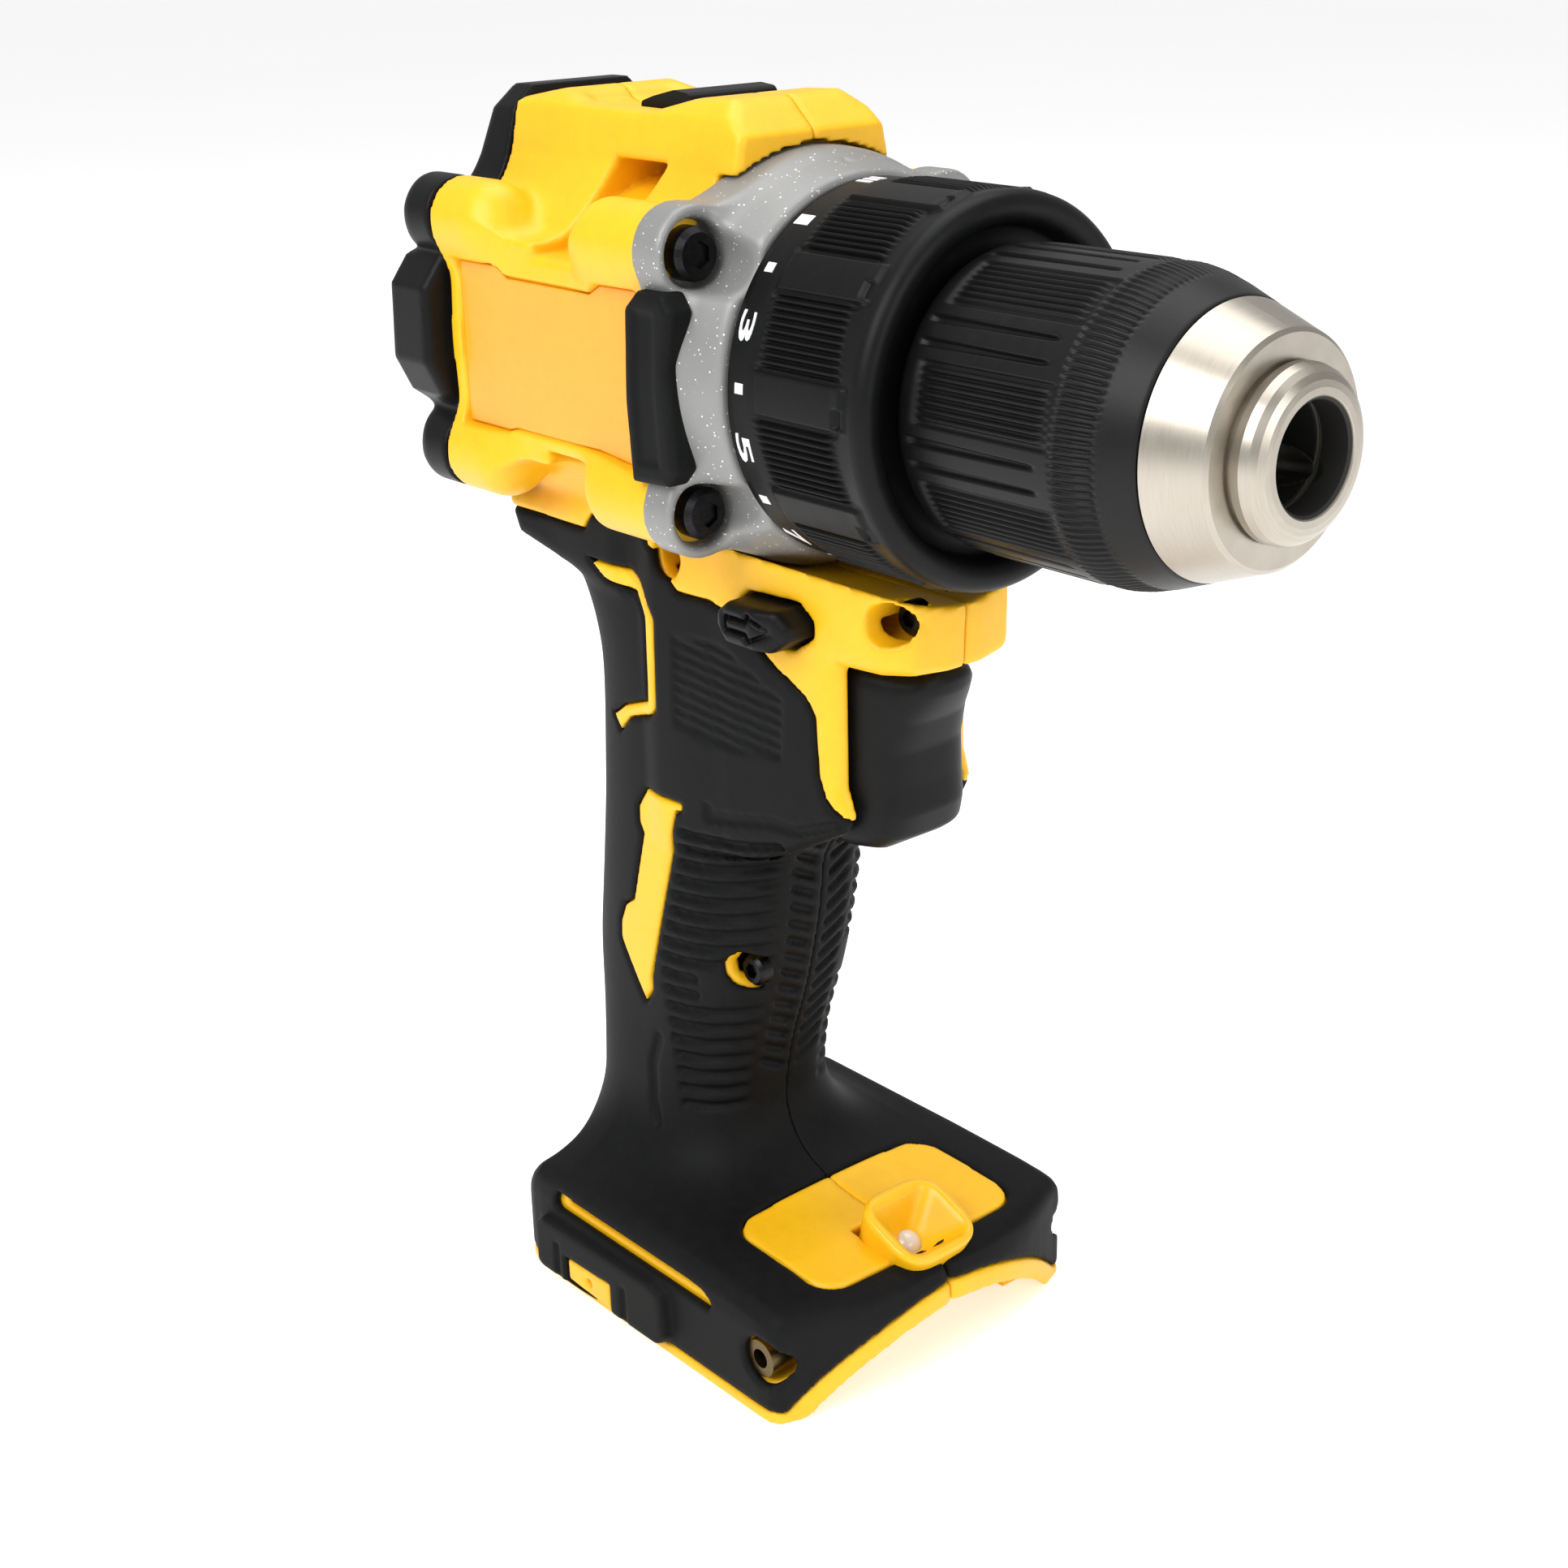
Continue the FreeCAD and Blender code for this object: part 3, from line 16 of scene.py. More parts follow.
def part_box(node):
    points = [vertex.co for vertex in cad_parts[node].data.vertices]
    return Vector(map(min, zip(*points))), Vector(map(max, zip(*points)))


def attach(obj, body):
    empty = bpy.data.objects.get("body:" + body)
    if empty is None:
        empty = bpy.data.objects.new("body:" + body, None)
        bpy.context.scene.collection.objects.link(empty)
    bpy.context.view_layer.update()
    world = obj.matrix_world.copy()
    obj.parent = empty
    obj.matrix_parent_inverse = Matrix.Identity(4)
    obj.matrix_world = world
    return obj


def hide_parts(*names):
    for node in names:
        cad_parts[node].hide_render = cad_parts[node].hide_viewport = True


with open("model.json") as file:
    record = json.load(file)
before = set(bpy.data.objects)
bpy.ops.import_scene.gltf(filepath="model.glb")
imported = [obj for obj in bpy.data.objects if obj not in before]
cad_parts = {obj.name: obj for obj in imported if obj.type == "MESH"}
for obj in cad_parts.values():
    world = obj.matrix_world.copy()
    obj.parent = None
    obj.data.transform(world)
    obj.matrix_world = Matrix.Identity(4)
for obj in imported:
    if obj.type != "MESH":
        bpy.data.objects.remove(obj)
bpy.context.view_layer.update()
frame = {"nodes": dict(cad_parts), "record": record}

# %% [markdown]
# ## Units and places
# The working model is in metres. The shells below are easier to think about in
# millimetres, so every form is written in millimetres and scaled once, when its
# mesh is made. The main places are read back from the model's own parts.

# %% Places read from the model
MM = 0.001


def span(node):
    """Lowest and highest corner of one part of the working model, in millimetres."""
    low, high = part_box(node)
    return [v / MM for v in low], [v / MM for v in high]


sleeve_low, sleeve_high = span("chuck_sleeve")
case_low = span("gear_case")[0]
cap_high = span("rear_cap")[1]

AXIS = (sleeve_low[2] + sleeve_high[2]) / 2     # height of the spindle
DRUM_REAR = cap_high[0]
DRUM_FRONT = case_low[0] + 3.0
print("spindle height", round(AXIS, 2), "drum", round(DRUM_REAR, 2))

# %% [markdown]
# ## Solid forms as distance fields
# A moulded shell is a few simple forms run softly into each other. Distance
# fields do exactly that: each form is an array of distances on a fine grid, two
# forms are joined or cut with a rounded minimum or maximum, and the surface is
# read off where the distance is zero. Box modelling would need every blend by hand.

# %% Distance fields on a grid
def grid(low, high, step):
    """Three axes of a grid, shaped so that they spread into a full volume."""
    axes = [np.arange(a, b + step, step, dtype=np.float32) for a, b in zip(low, high)]
    return axes[0][:, None, None], axes[1][None, :, None], axes[2][None, None, :]


def blend_min(a, b, soft):
    """Join two forms with a fillet of about the given size."""
    reach = np.maximum(soft - np.abs(a - b), 0) / soft
    return np.minimum(a, b) - reach * reach * soft / 4


def blend_max(a, b, soft):
    """Keep what two forms share, with a rounded edge of about the given size."""
    return -blend_min(-a, -b, soft)


def cut(a, b, soft=0.5):
    """Take the second form out of the first."""
    return blend_max(a, -b, soft)


def outline(u, v, points):
    """Distance to a closed outline given by its corners, negative inside."""
    best = np.full(np.broadcast(u, v).shape, 1e9, dtype=np.float32)
    inside = np.zeros(best.shape, dtype=bool)
    for (ax, ay), (bx, by) in zip(points, points[1:] + points[:1]):
        ex, ey = bx - ax, by - ay
        wu, wv = u - ax, v - ay
        along = np.clip((wu * ex + wv * ey) / (ex * ex + ey * ey), 0, 1)
        best = np.minimum(best, (wu - ex * along) ** 2 + (wv - ey * along) ** 2)
        crosses = (ay <= v) != (by <= v)
        side = (v - ay) * ex - wu * ey
        inside ^= crosses & ((side > 0) == (ey > 0))
    return np.where(inside, -np.sqrt(best), np.sqrt(best))


def rod(along, across, up, start, end, radius):
    """Round bar with ball ends along one axis, centred on the other two."""
    past = np.maximum(np.maximum(start - along, along - end), 0)
    return np.sqrt(past * past + across * across + up * up) - radius


def true_distance(field, step):
    """Rescale a form whose slope isn't one, so that offsets have their real size."""
    slopes = np.gradient(field, step)
    return field / np.maximum(np.sqrt(sum(s * s for s in slopes)), 0.2)


# %% From a field to a mesh object
def new_object(name, mesh):
    piece = bpy.data.objects.new(name, mesh)
    bpy.context.scene.collection.objects.link(piece)
    return piece


def solid(name, field, low, step, mirror=False, adapt=0.0):
    """Mesh the zero surface of a field; mirror makes the copy for the other side."""
    rim = 3 * step
    padded = np.pad(np.clip(field, -rim, rim), 1, constant_values=rim)
    volume = vdb.FloatGrid(rim)
    volume.copyFromArray(np.ascontiguousarray(padded, dtype=np.float32))
    volume.transform = vdb.createLinearTransform(voxelSize=step)
    points, triangles, quads = volume.convertToPolygons(0.0, adapt)
    points = (points + np.array(low) - step) * MM
    if mirror:
        points[:, 1] *= -1
        triangles, quads = triangles[:, ::-1], quads[:, ::-1]
    faces = [tuple(f) for f in triangles.tolist()] + [tuple(f) for f in quads.tolist()]
    mesh = bpy.data.meshes.new(name)
    mesh.from_pydata(points.tolist(), [], faces)
    mesh.polygons.foreach_set("use_smooth", [True] * len(mesh.polygons))
    mesh.update()
    print(name, len(faces), "faces")
    return new_object(name, mesh)


# %% [markdown]
# ## Shader expressions
# A finish is arithmetic on noise and coordinates. One small class wraps a node's
# output and adds the Math node behind each operator, so a finish reads as a sum.

# %% A socket that can be added and multiplied
class Value:
    def __init__(self, tree, socket):
        self.tree, self.socket = tree, socket

    def math(self, operation, other=None, clamp=False):
        node = self.tree.nodes.new("ShaderNodeMath")
        node.operation = operation
        node.use_clamp = clamp
        for slot, item in zip(node.inputs, (self, other)):
            if isinstance(item, Value):
                self.tree.links.new(item.socket, slot)
            elif item is not None:
                slot.default_value = item
        return Value(self.tree, node.outputs[0])

    def __add__(self, other):
        return self.math("ADD", other)

    def __sub__(self, other):
        return self.math("SUBTRACT", other)

    def __mul__(self, other):
        return self.math("MULTIPLY", other)

    def __rsub__(self, other):
        return (self * -1.0) + other

    __radd__ = __add__
    __rmul__ = __mul__

    def above(self, edge, soft):
        """0 below the edge, 1 above it, with a soft step."""
        return ((self - edge) * (1.0 / soft) + 0.5).math("ADD", 0.0, clamp=True)


class Finish:
    """One material and the few node patterns that the finishes share."""

    def __init__(self, name):
        self.material = bpy.data.materials.new(name)
        self.material.use_nodes = True
        self.tree = self.material.node_tree
        self.shader = self.tree.nodes["Principled BSDF"]
        self.place = self.tree.nodes.new("ShaderNodeTexCoord").outputs["Object"]

    def fill(self, slot, value):
        """Link a value or a socket, or write a number or a colour."""
        if isinstance(value, Value):
            self.tree.links.new(value.socket, slot)
        elif isinstance(value, bpy.types.NodeSocket):
            self.tree.links.new(value, slot)
        elif isinstance(value, tuple) and slot.type == "RGBA":
            slot.default_value = (*value, 1.0)
        else:
            slot.default_value = value

    def node(self, kind, settings=None, **sockets):
        made = self.tree.nodes.new(kind)
        for key, value in (settings or {}).items():
            setattr(made, key, value)
        for key, value in sockets.items():
            self.fill(made.inputs[key.replace("_", " ")], value)
        return made

    def noise(self, scale, detail=3.0, rough=0.55, stretch=None):
        place = self.place
        if stretch:
            place = self.node("ShaderNodeMapping", Vector=self.place, Scale=stretch).outputs["Vector"]
        made = self.node("ShaderNodeTexNoise", Vector=place, Scale=scale, Detail=detail, Roughness=rough)
        return Value(self.tree, made.outputs["Factor"] if "Factor" in made.outputs else made.outputs["Fac"])

    def cells(self, scale):
        made = self.node("ShaderNodeTexVoronoi", Vector=self.place, Scale=scale)
        return Value(self.tree, made.outputs["Distance"])

    def from_axis(self):
        """Distance from the spindle axis, in metres."""
        across = self.node("ShaderNodeVectorMath", {"operation": "MULTIPLY_ADD"})
        for slot, value in zip(across.inputs, (self.place, (0.0, 1.0, 1.0), (0.0, 0.0, -MM * AXIS))):
            self.fill(slot, value)
        made = self.node("ShaderNodeVectorMath", {"operation": "LENGTH"}, Vector=across.outputs["Vector"])
        return Value(self.tree, made.outputs["Value"])

    def mix(self, amount, first, second):
        made = self.node("ShaderNodeMix", {"data_type": "RGBA"})
        for place, value in ((0, amount), (6, first), (7, second)):     # factor, A and B of a colour mix
            self.fill(made.inputs[place], value)
        return made.outputs[2]

    def set(self, **values):
        for key, value in values.items():
            self.fill(self.shader.inputs[key.replace("_", " ")], value)
        return self

    def bump(self, height, depth, strength=1.0):
        made = self.node("ShaderNodeBump", Height=height, Distance=depth, Strength=strength)
        self.tree.links.new(made.outputs["Normal"], self.shader.inputs["Normal"])
        return self


# %% [markdown]
# ## The finishes
# The yellow is glass-filled nylon with a fine spark grain. The black cover is a
# soft elastomer, duller than the hard black plastic of cap, collar and sleeve.
# The gear case is grey paint with bright flakes, and the nose is satin nickel.

# %% Plastics and rubber
def moulded(name, low, high, roughness, grain_scale, grain_depth, coat=0.0, gleam=0.45):
    """Moulded plastic: slow colour drift, fine grain, uneven gloss."""
    finish = Finish(name)
    drift = finish.noise(35.0, 2.0)
    speck = finish.noise(420.0, 2.0)
    grain = finish.noise(grain_scale, 3.0, 0.6)
    tone = (drift * 0.6 + speck * 0.4).above(0.5, 0.35)
    gloss = roughness - 0.06 + speck * 0.08 + drift * 0.05
    finish.set(Base_Color=finish.mix(tone, low, high), Roughness=gloss, Coat_Weight=coat)
    finish.set(Specular_IOR_Level=gleam)
    return finish.bump(grain, grain_depth, 0.5).material


YELLOW = moulded("drill_yellow", (0.84, 0.435, 0.003), (0.89, 0.495, 0.006), 0.42, 2600.0, 0.00005)
BEZEL = moulded("bezel_yellow", (0.84, 0.43, 0.004), (0.90, 0.50, 0.008), 0.30, 1800.0, 0.00002)
AMBER = moulded("label_amber", (0.86, 0.33, 0.012), (0.90, 0.365, 0.016), 0.36, 2200.0, 0.00001, 0.2)
RUBBER = moulded("grip_rubber", (0.0042, 0.0044, 0.0046), (0.0075, 0.0078, 0.008), 0.58, 2000.0, 0.00004,
                 gleam=0.10)
BLACK = moulded("hard_black", (0.0035, 0.0036, 0.0038), (0.006, 0.0062, 0.0064), 0.42, 2400.0, 0.00003,
                gleam=0.14)
SLEEVE = moulded("sleeve_black", (0.0035, 0.0036, 0.0038), (0.0065, 0.0067, 0.0069), 0.40, 2000.0, 0.00003,
                 gleam=0.22)
INNER = moulded("inner_black", (0.008, 0.008, 0.0084), (0.013, 0.013, 0.0135), 0.5, 1500.0, 0.00004)
MARKS = moulded("dial_white", (0.72, 0.73, 0.74), (0.80, 0.81, 0.82), 0.45, 2600.0, 0.00002)
BOARD = moulded("board_green", (0.01, 0.10, 0.045), (0.015, 0.14, 0.06), 0.35, 900.0, 0.00003)


# %% Metals
def flaked_paint():
    """Grey paint on the die-cast case, with small bright flakes."""
    finish = Finish("case_flake_grey")
    drift = finish.noise(60.0, 3.0)
    fine = finish.cells(1500.0)
    pick = finish.noise(900.0, 1.0)
    flake = (1.0 - fine).above(0.80, 0.06) * pick.above(0.56, 0.04)
    tone = finish.mix(drift.above(0.5, 0.5), (0.215, 0.215, 0.21), (0.27, 0.27, 0.262))
    finish.set(Base_Color=finish.mix(flake, tone, (0.85, 0.86, 0.87)))
    finish.set(Roughness=0.46 - flake * 0.2, Metallic=0.25)
    return finish.bump(finish.noise(1400.0, 3.0), 0.00004, 0.4).material


def brushed(name, low, high, roughness, stretch):
    """Machined steel with fine lines along the way it was turned or ground."""
    finish = Finish(name)
    lines = finish.noise(900.0, 3.0, 0.6, stretch)
    patch = finish.noise(45.0, 3.0)
    finish.set(Base_Color=finish.mix((lines * 0.5 + patch * 0.5).above(0.5, 0.4), low, high))
    finish.set(Metallic=1.0, Roughness=roughness - 0.05 + lines * 0.12 + patch * 0.04)
    return finish.bump(lines, 0.00002, 0.3).material


def nose_metal():
    """Turned nickel outside; down the bore, painted shade that is near black and dull."""
    finish = Finish("nose_nickel")
    lines = finish.noise(900.0, 3.0, 0.6, (8.0, 0.35, 0.35))
    patch = finish.noise(45.0, 3.0)
    tone = finish.mix((lines * 0.5 + patch * 0.5).above(0.5, 0.4), (0.40, 0.36, 0.305), (0.50, 0.46, 0.40))
    # Painted shade: inside this radius the nickel is painted near black, as if in the bore's shadow, and is also
    # made less metallic and rougher.
    painted_bore_shade = 1.0 - finish.from_axis().above(BORE_SHADE, 0.0002)
    finish.set(Base_Color=finish.mix(painted_bore_shade, tone, (0.018, 0.017, 0.016)))
    finish.set(Metallic=1.0 - painted_bore_shade * 0.6, Roughness=0.25 + lines * 0.1 + patch * 0.04 + painted_bore_shade * 0.3)
    return finish.bump(lines, 0.00002, 0.3).material


BORE_SHADE = 0.0077     # metres from the spindle axis where the painted bore shade ends and the bright nose begins
NOSE = nose_metal()
CASE = flaked_paint()
STEEL = brushed("gear_steel", (0.34, 0.34, 0.35), (0.50, 0.50, 0.52), 0.30, (0.4, 4.0, 4.0))
SCREW = brushed("black_oxide", (0.012, 0.012, 0.013), (0.03, 0.03, 0.032), 0.34, (1.0, 1.0, 1.0))
IRON = brushed("laminated_iron", (0.12, 0.12, 0.125), (0.20, 0.20, 0.21), 0.45, (12.0, 0.3, 0.3))
COPPER = brushed("winding_copper", (0.42, 0.14, 0.05), (0.62, 0.24, 0.10), 0.33, (0.4, 9.0, 9.0))
# Painted shade: the brass colour is darkened almost to black to stand in for the shadow where it sits deep in its
# hole.
SHADE_DARKENED_BRASS = brushed("brass_darkened_for_shade", (0.10, 0.07, 0.03), (0.17, 0.12, 0.05), 0.30, (1.0, 6.0, 6.0))


def lens_finish():
    finish = Finish("led_lens")
    cloud = finish.noise(300.0, 2.0)
    finish.set(Base_Color=finish.mix(cloud, (0.80, 0.74, 0.60), (0.92, 0.90, 0.84)))
    finish.set(Roughness=0.15 + cloud * 0.1)
    finish.set(Coat_Weight=0.5, Transmission_Weight=0.25)
    return finish.material


LENS = lens_finish()


# %% Give a piece its finish and its body, and hide the parts it stands for
def dress(piece, material, body, slot, *nodes):
    piece.data.materials.clear()
    piece.data.materials.append(material)
    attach(piece, body)
    if nodes:
        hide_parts(*nodes)
    return piece


# %% [markdown]
# ## The body's outer form
# Drum, neck, grip and foot are one continuous form under two skins. It is built
# once on the right half of the tool and mirrored, because the real moulds are a
# pair too. The yellow skin and the black cover are then cut from that same form.

# %% Drum with its screw bosses and top ridge
SEAT_OUT, SEAT_UP = 25.2, 18.7      # screw axes of case and cap, from the spindle axis
QUADRANTS = [(sy, sz) for sy in (-1, 1) for sz in (-1, 1)]


def drum_form(x, y, z):
    side, up = np.abs(y), z - AXIS
    radius = np.sqrt(side * side + up * up)
    barrel = radius - 27.4
    flats = np.maximum(np.abs(side - 14.0) - 14.2, np.abs(up) - 17.0)
    form = blend_min(barrel, flats, 4.0)
    for height in (SEAT_UP, -SEAT_UP):
        for start, end in ((-52.0, -37.5), (-6.5, 12.0)):
            boss = rod(x, side - 25.0, up - height, start, end, 6.3)
            form = blend_min(form, boss, 5.0)
    across = outline(side, up, [(-1, 38.4), (10.4, 38.4), (13.6, 35.6), (15.2, 28.0), (19.5, 19.0),
                                (-1, 15.0)])
    long_view = outline(x, up, [(-50, 14), (-50, 35.2), (-36.5, 37.8), (-30.0, 36.0), (-12.0, 35.8),
                                (-3.0, 38.2), (4.2, 38.7), (10.2, 33.2), (10.2, 14)])
    ridge = blend_max(across, long_view, 1.6)
    form = blend_min(form, ridge, 3.0)
    front = np.where(radius > 31.6, x - 10.2, x - DRUM_FRONT)
    form = blend_max(form, front, 0.6)
    scoop_side = outline(x, up, [(-37.5, 42), (-33.0, 35.6), (-26.0, 34.0), (-7.0, 34.0), (-7.0, 42)])
    scoop = blend_max(scoop_side, side - 8.9, 2.0)
    form = cut(form, scoop, 1.2)
    return blend_max(form, DRUM_REAR + 0.1 - x, 0.5)


LABEL = [(-43.2, 12.9), (-33.4, 12.9), (-30.6, 11.2), (-9.0, 11.2), (-6.0, 12.9), (4.2, 13.1),
         (3.2, -13.9), (-8.0, -12.6), (-30.0, -12.6), (-32.2, -13.2), (-43.2, -13.2)]
VENTS = [
    [(-14.7, 25.8), (-9.0, 25.8), (-13.6, 21.4), (-18.6, 21.6)],
    [(-17.5, 20.2), (-12.4, 20.2), (-15.2, 16.6), (-19.4, 16.8)],
    [(-19.2, -16.2), (-14.6, -16.2), (-11.8, -18.6), (-17.0, -18.6)],
    [(-18.5, -20.8), (-14.6, -20.8), (-11.6, -22.8), (-14.9, -22.8)],
]

BAYS = [
    [(-23.5, 15.0), (-18.6, 28.6), (-6.4, 28.6), (-10.4, 21.0), (-12.2, 15.0)],
    [(-22.6, -15.0), (-17.0, -24.4), (-9.2, -24.4), (-8.6, -20.0), (-10.6, -15.0)],
]


# %% Neck, trigger shroud and the block under the collar
def neck_form(x, y, z):
    side = np.abs(y)
    side_view = outline(x, z, [(42.4, 150), (42.8, 131), (42.2, 122.8), (28.6, 122.8), (28.6, 103.5),
                               (30.4, 99.0), (28.8, 96.0), (10.0, 85.6), (-12, 85.6), (-12, 150)])
    plan = outline(x, side, [(-14, -1), (-14, 17.2), (6, 17.1), (28, 14.5), (36.5, 13.2), (41.0, 9.6),
                             (42.8, 3.5), (42.9, -1)])
    form = blend_max(side_view, plan, 3.6)
    seat = np.sqrt(side * side + (z - AXIS) ** 2) - 28.6
    return cut(form, np.maximum(seat, 21.3 - x), 1.0)


# %% Grip: a rounded oval that changes with height
GRIP = np.array([
    # height, front, rear, half width
    (8.0, 8.5, -40.0, 20.0),
    (24.0, 0.2, -41.2, 17.8),
    (34.0, -1.8, -41.0, 16.7),
    (46.0, 0.4, -41.0, 16.4),
    (58.0, 4.8, -41.2, 16.7),
    (72.0, 8.3, -39.2, 17.0),
    (86.0, 10.0, -37.4, 17.1),
    (104.0, 10.6, -36.0, 17.2),
    (113.0, 10.0, -35.8, 17.2),
    (121.0, 9.0, -38.4, 17.2),
    (128.0, 9.0, -43.4, 17.2),
    (136.0, 9.0, -51.6, 17.0),
    (142.0, 9.0, -56.0, 17.0),
])


def smooth_rows(table, heights):
    """Read a table of sections at any height, with its corners eased out."""
    fine = np.arange(table[0, 0], table[-1, 0] + 0.5, 0.5)
    kernel = np.exp(-0.5 * (np.arange(-16, 17) / 6.0) ** 2)
    kernel /= kernel.sum()
    rows = []
    for column in range(1, table.shape[1]):
        flat = np.interp(fine, table[:, 0], table[:, column])
        eased = np.convolve(np.pad(flat, 16, mode="edge"), kernel, mode="valid")
        rows.append(np.interp(heights, fine, eased).astype(np.float32))
    return rows


def grip_form(x, y, z, step):
    front, rear, half = smooth_rows(GRIP, z)
    middle, depth = (front + rear) / 2, (front - rear) / 2
    power = 2.7     # 2 would be an ellipse, more is squarer
    around = (np.abs((x - middle) / depth) ** power + (np.abs(y) / half) ** power) ** (1 / power)
    oval = true_distance(((around - 1) * 17.0).astype(np.float32), step)
    ledge = outline(x, z, [(-51.0, 134.6), (-48.6, 129.2), (-37.0, 126.8), (-20, 126.0), (-20, 137.2),
                           (-51.2, 137.2)])
    oval = blend_min(oval, blend_max(ledge, np.abs(y) - 17.2, 3.0), 3.0)
    tail = np.maximum(137.2 - z, x + 46.4)
    return cut(blend_max(oval, np.maximum(z - 150.0, 9.0 - z), 1.0), tail, 0.6)


# %% Foot: plan, side and front outlines run together
FOOT_HALF = 34.0
FOOT_FRONT, FOOT_REAR = 34.2, -39.0
FOOT_BOW = 6.6          # how far the middle of the front stands out
REAR_CORNER = 9.0
ARCH_TOP = 12.0
ARCH_R = ((FOOT_HALF - 6) ** 2 + ARCH_TOP ** 2) / (2 * ARCH_TOP)


def foot_plan(x, side):
    """Plan of the foot: bowed front, tight front corners, rounder rear corners."""
    places = (-2.0, 4.0, 8.0, 12.0, 16.0, 20.0, 24.0, 27.0, 30.0)
    bow = [(FOOT_FRONT + FOOT_BOW * (1 - (t / 30.0) ** 2), t) for t in places]
    corner = [(FOOT_FRONT - 0.8, 32.4), (FOOT_FRONT - 2.6, 33.6), (FOOT_FRONT - 5.0, 34.0)]
    centre = (FOOT_REAR + REAR_CORNER, FOOT_HALF - REAR_CORNER)
    rear = [(centre[0] - REAR_CORNER * math.sin(a), centre[1] + REAR_CORNER * math.cos(a))
            for a in np.linspace(0, math.pi / 2, 6)]
    return outline(x, side, bow + corner + rear + [(FOOT_REAR, -2.0)])


def foot_form(x, y, z):
    side = np.abs(y)
    side_view = outline(x, z, [(45, -3), (-45, -3), (-45, 10.5), (-38.6, 13.5), (-33, 20.6), (-26, 22.8),
                               (8, 22.6), (24, 21.6), (35.5, 20.0), (38.6, 18.6), (40.2, 15.4), (41.4, 10.0),
                               (45, 4)])
    front_view = outline(side, z, [(-2, -3), (36, -3), (36, 16.5), (34.4, 19.4), (31.6, 21.4), (25.0, 23.0),
                                   (12.0, 24.0), (-2, 24.2)])
    form = blend_max(foot_plan(x, side), side_view, 3.0)
    return blend_max(blend_max(form, front_view, 5.0), -z, 0.4)


BAY_TOP, RAIL_TOP = 11.5, 3.6


def arch_form(y, z, extra=0.0):
    return np.sqrt(y * y + (z - (ARCH_TOP - ARCH_R)) ** 2) - ARCH_R - extra


def bay_form(x, y, z):
    """Room for the battery: between the rails, above them, and out under the arch."""
    side = np.abs(y)
    wide = np.maximum(np.maximum(side - 26.0, z - BAY_TOP), RAIL_TOP - z)
    narrow = np.maximum(side - 22.0, z - BAY_TOP)
    room = np.maximum(np.minimum(wide, narrow), np.maximum(-34.5 - x, x - 31.2))
    return np.minimum(room, np.maximum(arch_form(y, z), 30.0 - x))


# %% The whole outer form on one grid
STEP = 0.55
LOW, HIGH = (-56.0, -37.0, -2.0), (50.0, 1.5, 206.0)
gx, gy, gz = grid(LOW, HIGH, STEP)
neck = neck_form(gx, gy, gz)
lower = blend_min(neck, grip_form(gx, gy, gz, STEP), 4.0)
lower = blend_min(lower, foot_form(gx, gy, gz), 13.0)
drum = drum_form(gx, gy, gz)
outer = blend_min(drum, lower, 3.0)
print("grid", outer.shape, "points", outer.size)

# %% [markdown]
# ## What the soft cover takes
# The cover's edge is drawn in the side view, as the mould maker's parting line is.
# Yellow islands stay bare inside it: a badge on each side of the grip, a strap at
# the web of the hand, a strip low on the back, the plate on the foot and a small
# window in the foot's side.

# %% Edge of the cover and the bare islands
COVER_EDGE = [(-70, 133.8), (-28.2, 134.2), (-26.4, 137.0), (-15.4, 137.0), (-12.4, 135.8), (-4.6, 128.4),
              (2.8, 128.4), (7.6, 127.2), (16.4, 120.8), (22.6, 117.2), (24.4, 114.4), (24.9, 105.3),
              (26.4, 101.2), (29.6, 98.2), (60, 93.0), (60, -9), (-70, -9)]
BADGE = [(-15.4, 92.3), (-5.2, 92.6), (-5.2, 91.2), (-6.8, 91.0), (-17.2, 56.6), (-17.2, 54.3), (-19.2, 51.6),
         (-25.6, 61.6), (-25.4, 65.0), (-23.6, 68.7), (-20.8, 70.5), (-17.0, 83.9), (-18.1, 85.6), (-18.0, 88.6)]
STRAP = [(-27.3, 129.4), (-17.0, 129.4), (-14.6, 128.0), (-10.6, 122.6), (-11.0, 107.4), (-12.4, 106.0),
         (-19.2, 103.8), (-22.4, 100.6), (-24.6, 103.0), (-20.6, 105.6), (-13.4, 108.2), (-13.0, 122.0),
         (-15.4, 126.0), (-22.9, 126.6)]
HEEL = [(-35.8, 40.0), (-36.4, 26.4), (-38.4, 23.4), (-41.0, 23.2), (-41.6, 27.0), (-40.0, 38.0)]
PLATE = [(14.2, -2), (14.0, 16.8), (28.2, 16.8), (28.6, -2)]
PLATE_CORNER = 5.2
WINDOW = [(-20.8, 7.4), (-8.2, 7.8), (-8.2, 2.4), (-20.7, 2.8)]


def cover_area(x, y, z):
    """Negative where the soft cover lies."""
    side = np.abs(y)
    area = outline(x, z, COVER_EDGE)
    rim = np.maximum(2.1 - z, np.where(x > 30.5, -arch_form(y, z, 3.6), -99.0))
    area = np.maximum(area, rim)
    for island in (BADGE, STRAP):
        area = np.maximum(area, -np.maximum(outline(x, z, island), 6.0 - side))
    area = np.maximum(area, -np.maximum(outline(x, z, HEEL), -30.0 - x))
    plate = np.maximum(outline(x, side, PLATE) - PLATE_CORNER, np.maximum(17.0 - z, z - 30.0))
    area = np.maximum(area, -plate)
    return np.maximum(area, -np.maximum(outline(x, z, WINDOW), 30.0 - side))


area = cover_area(gx, gy, gz)
print("cover area ready")


# %% [markdown]
# ## Yellow housing
# Where the cover lies, the housing is 1.6 mm lower and only its core shows through
# the slots. Everywhere else it comes up flush. Its wall is hollow inside, as the
# real halves are, so the motor and gears of the working model have their room.

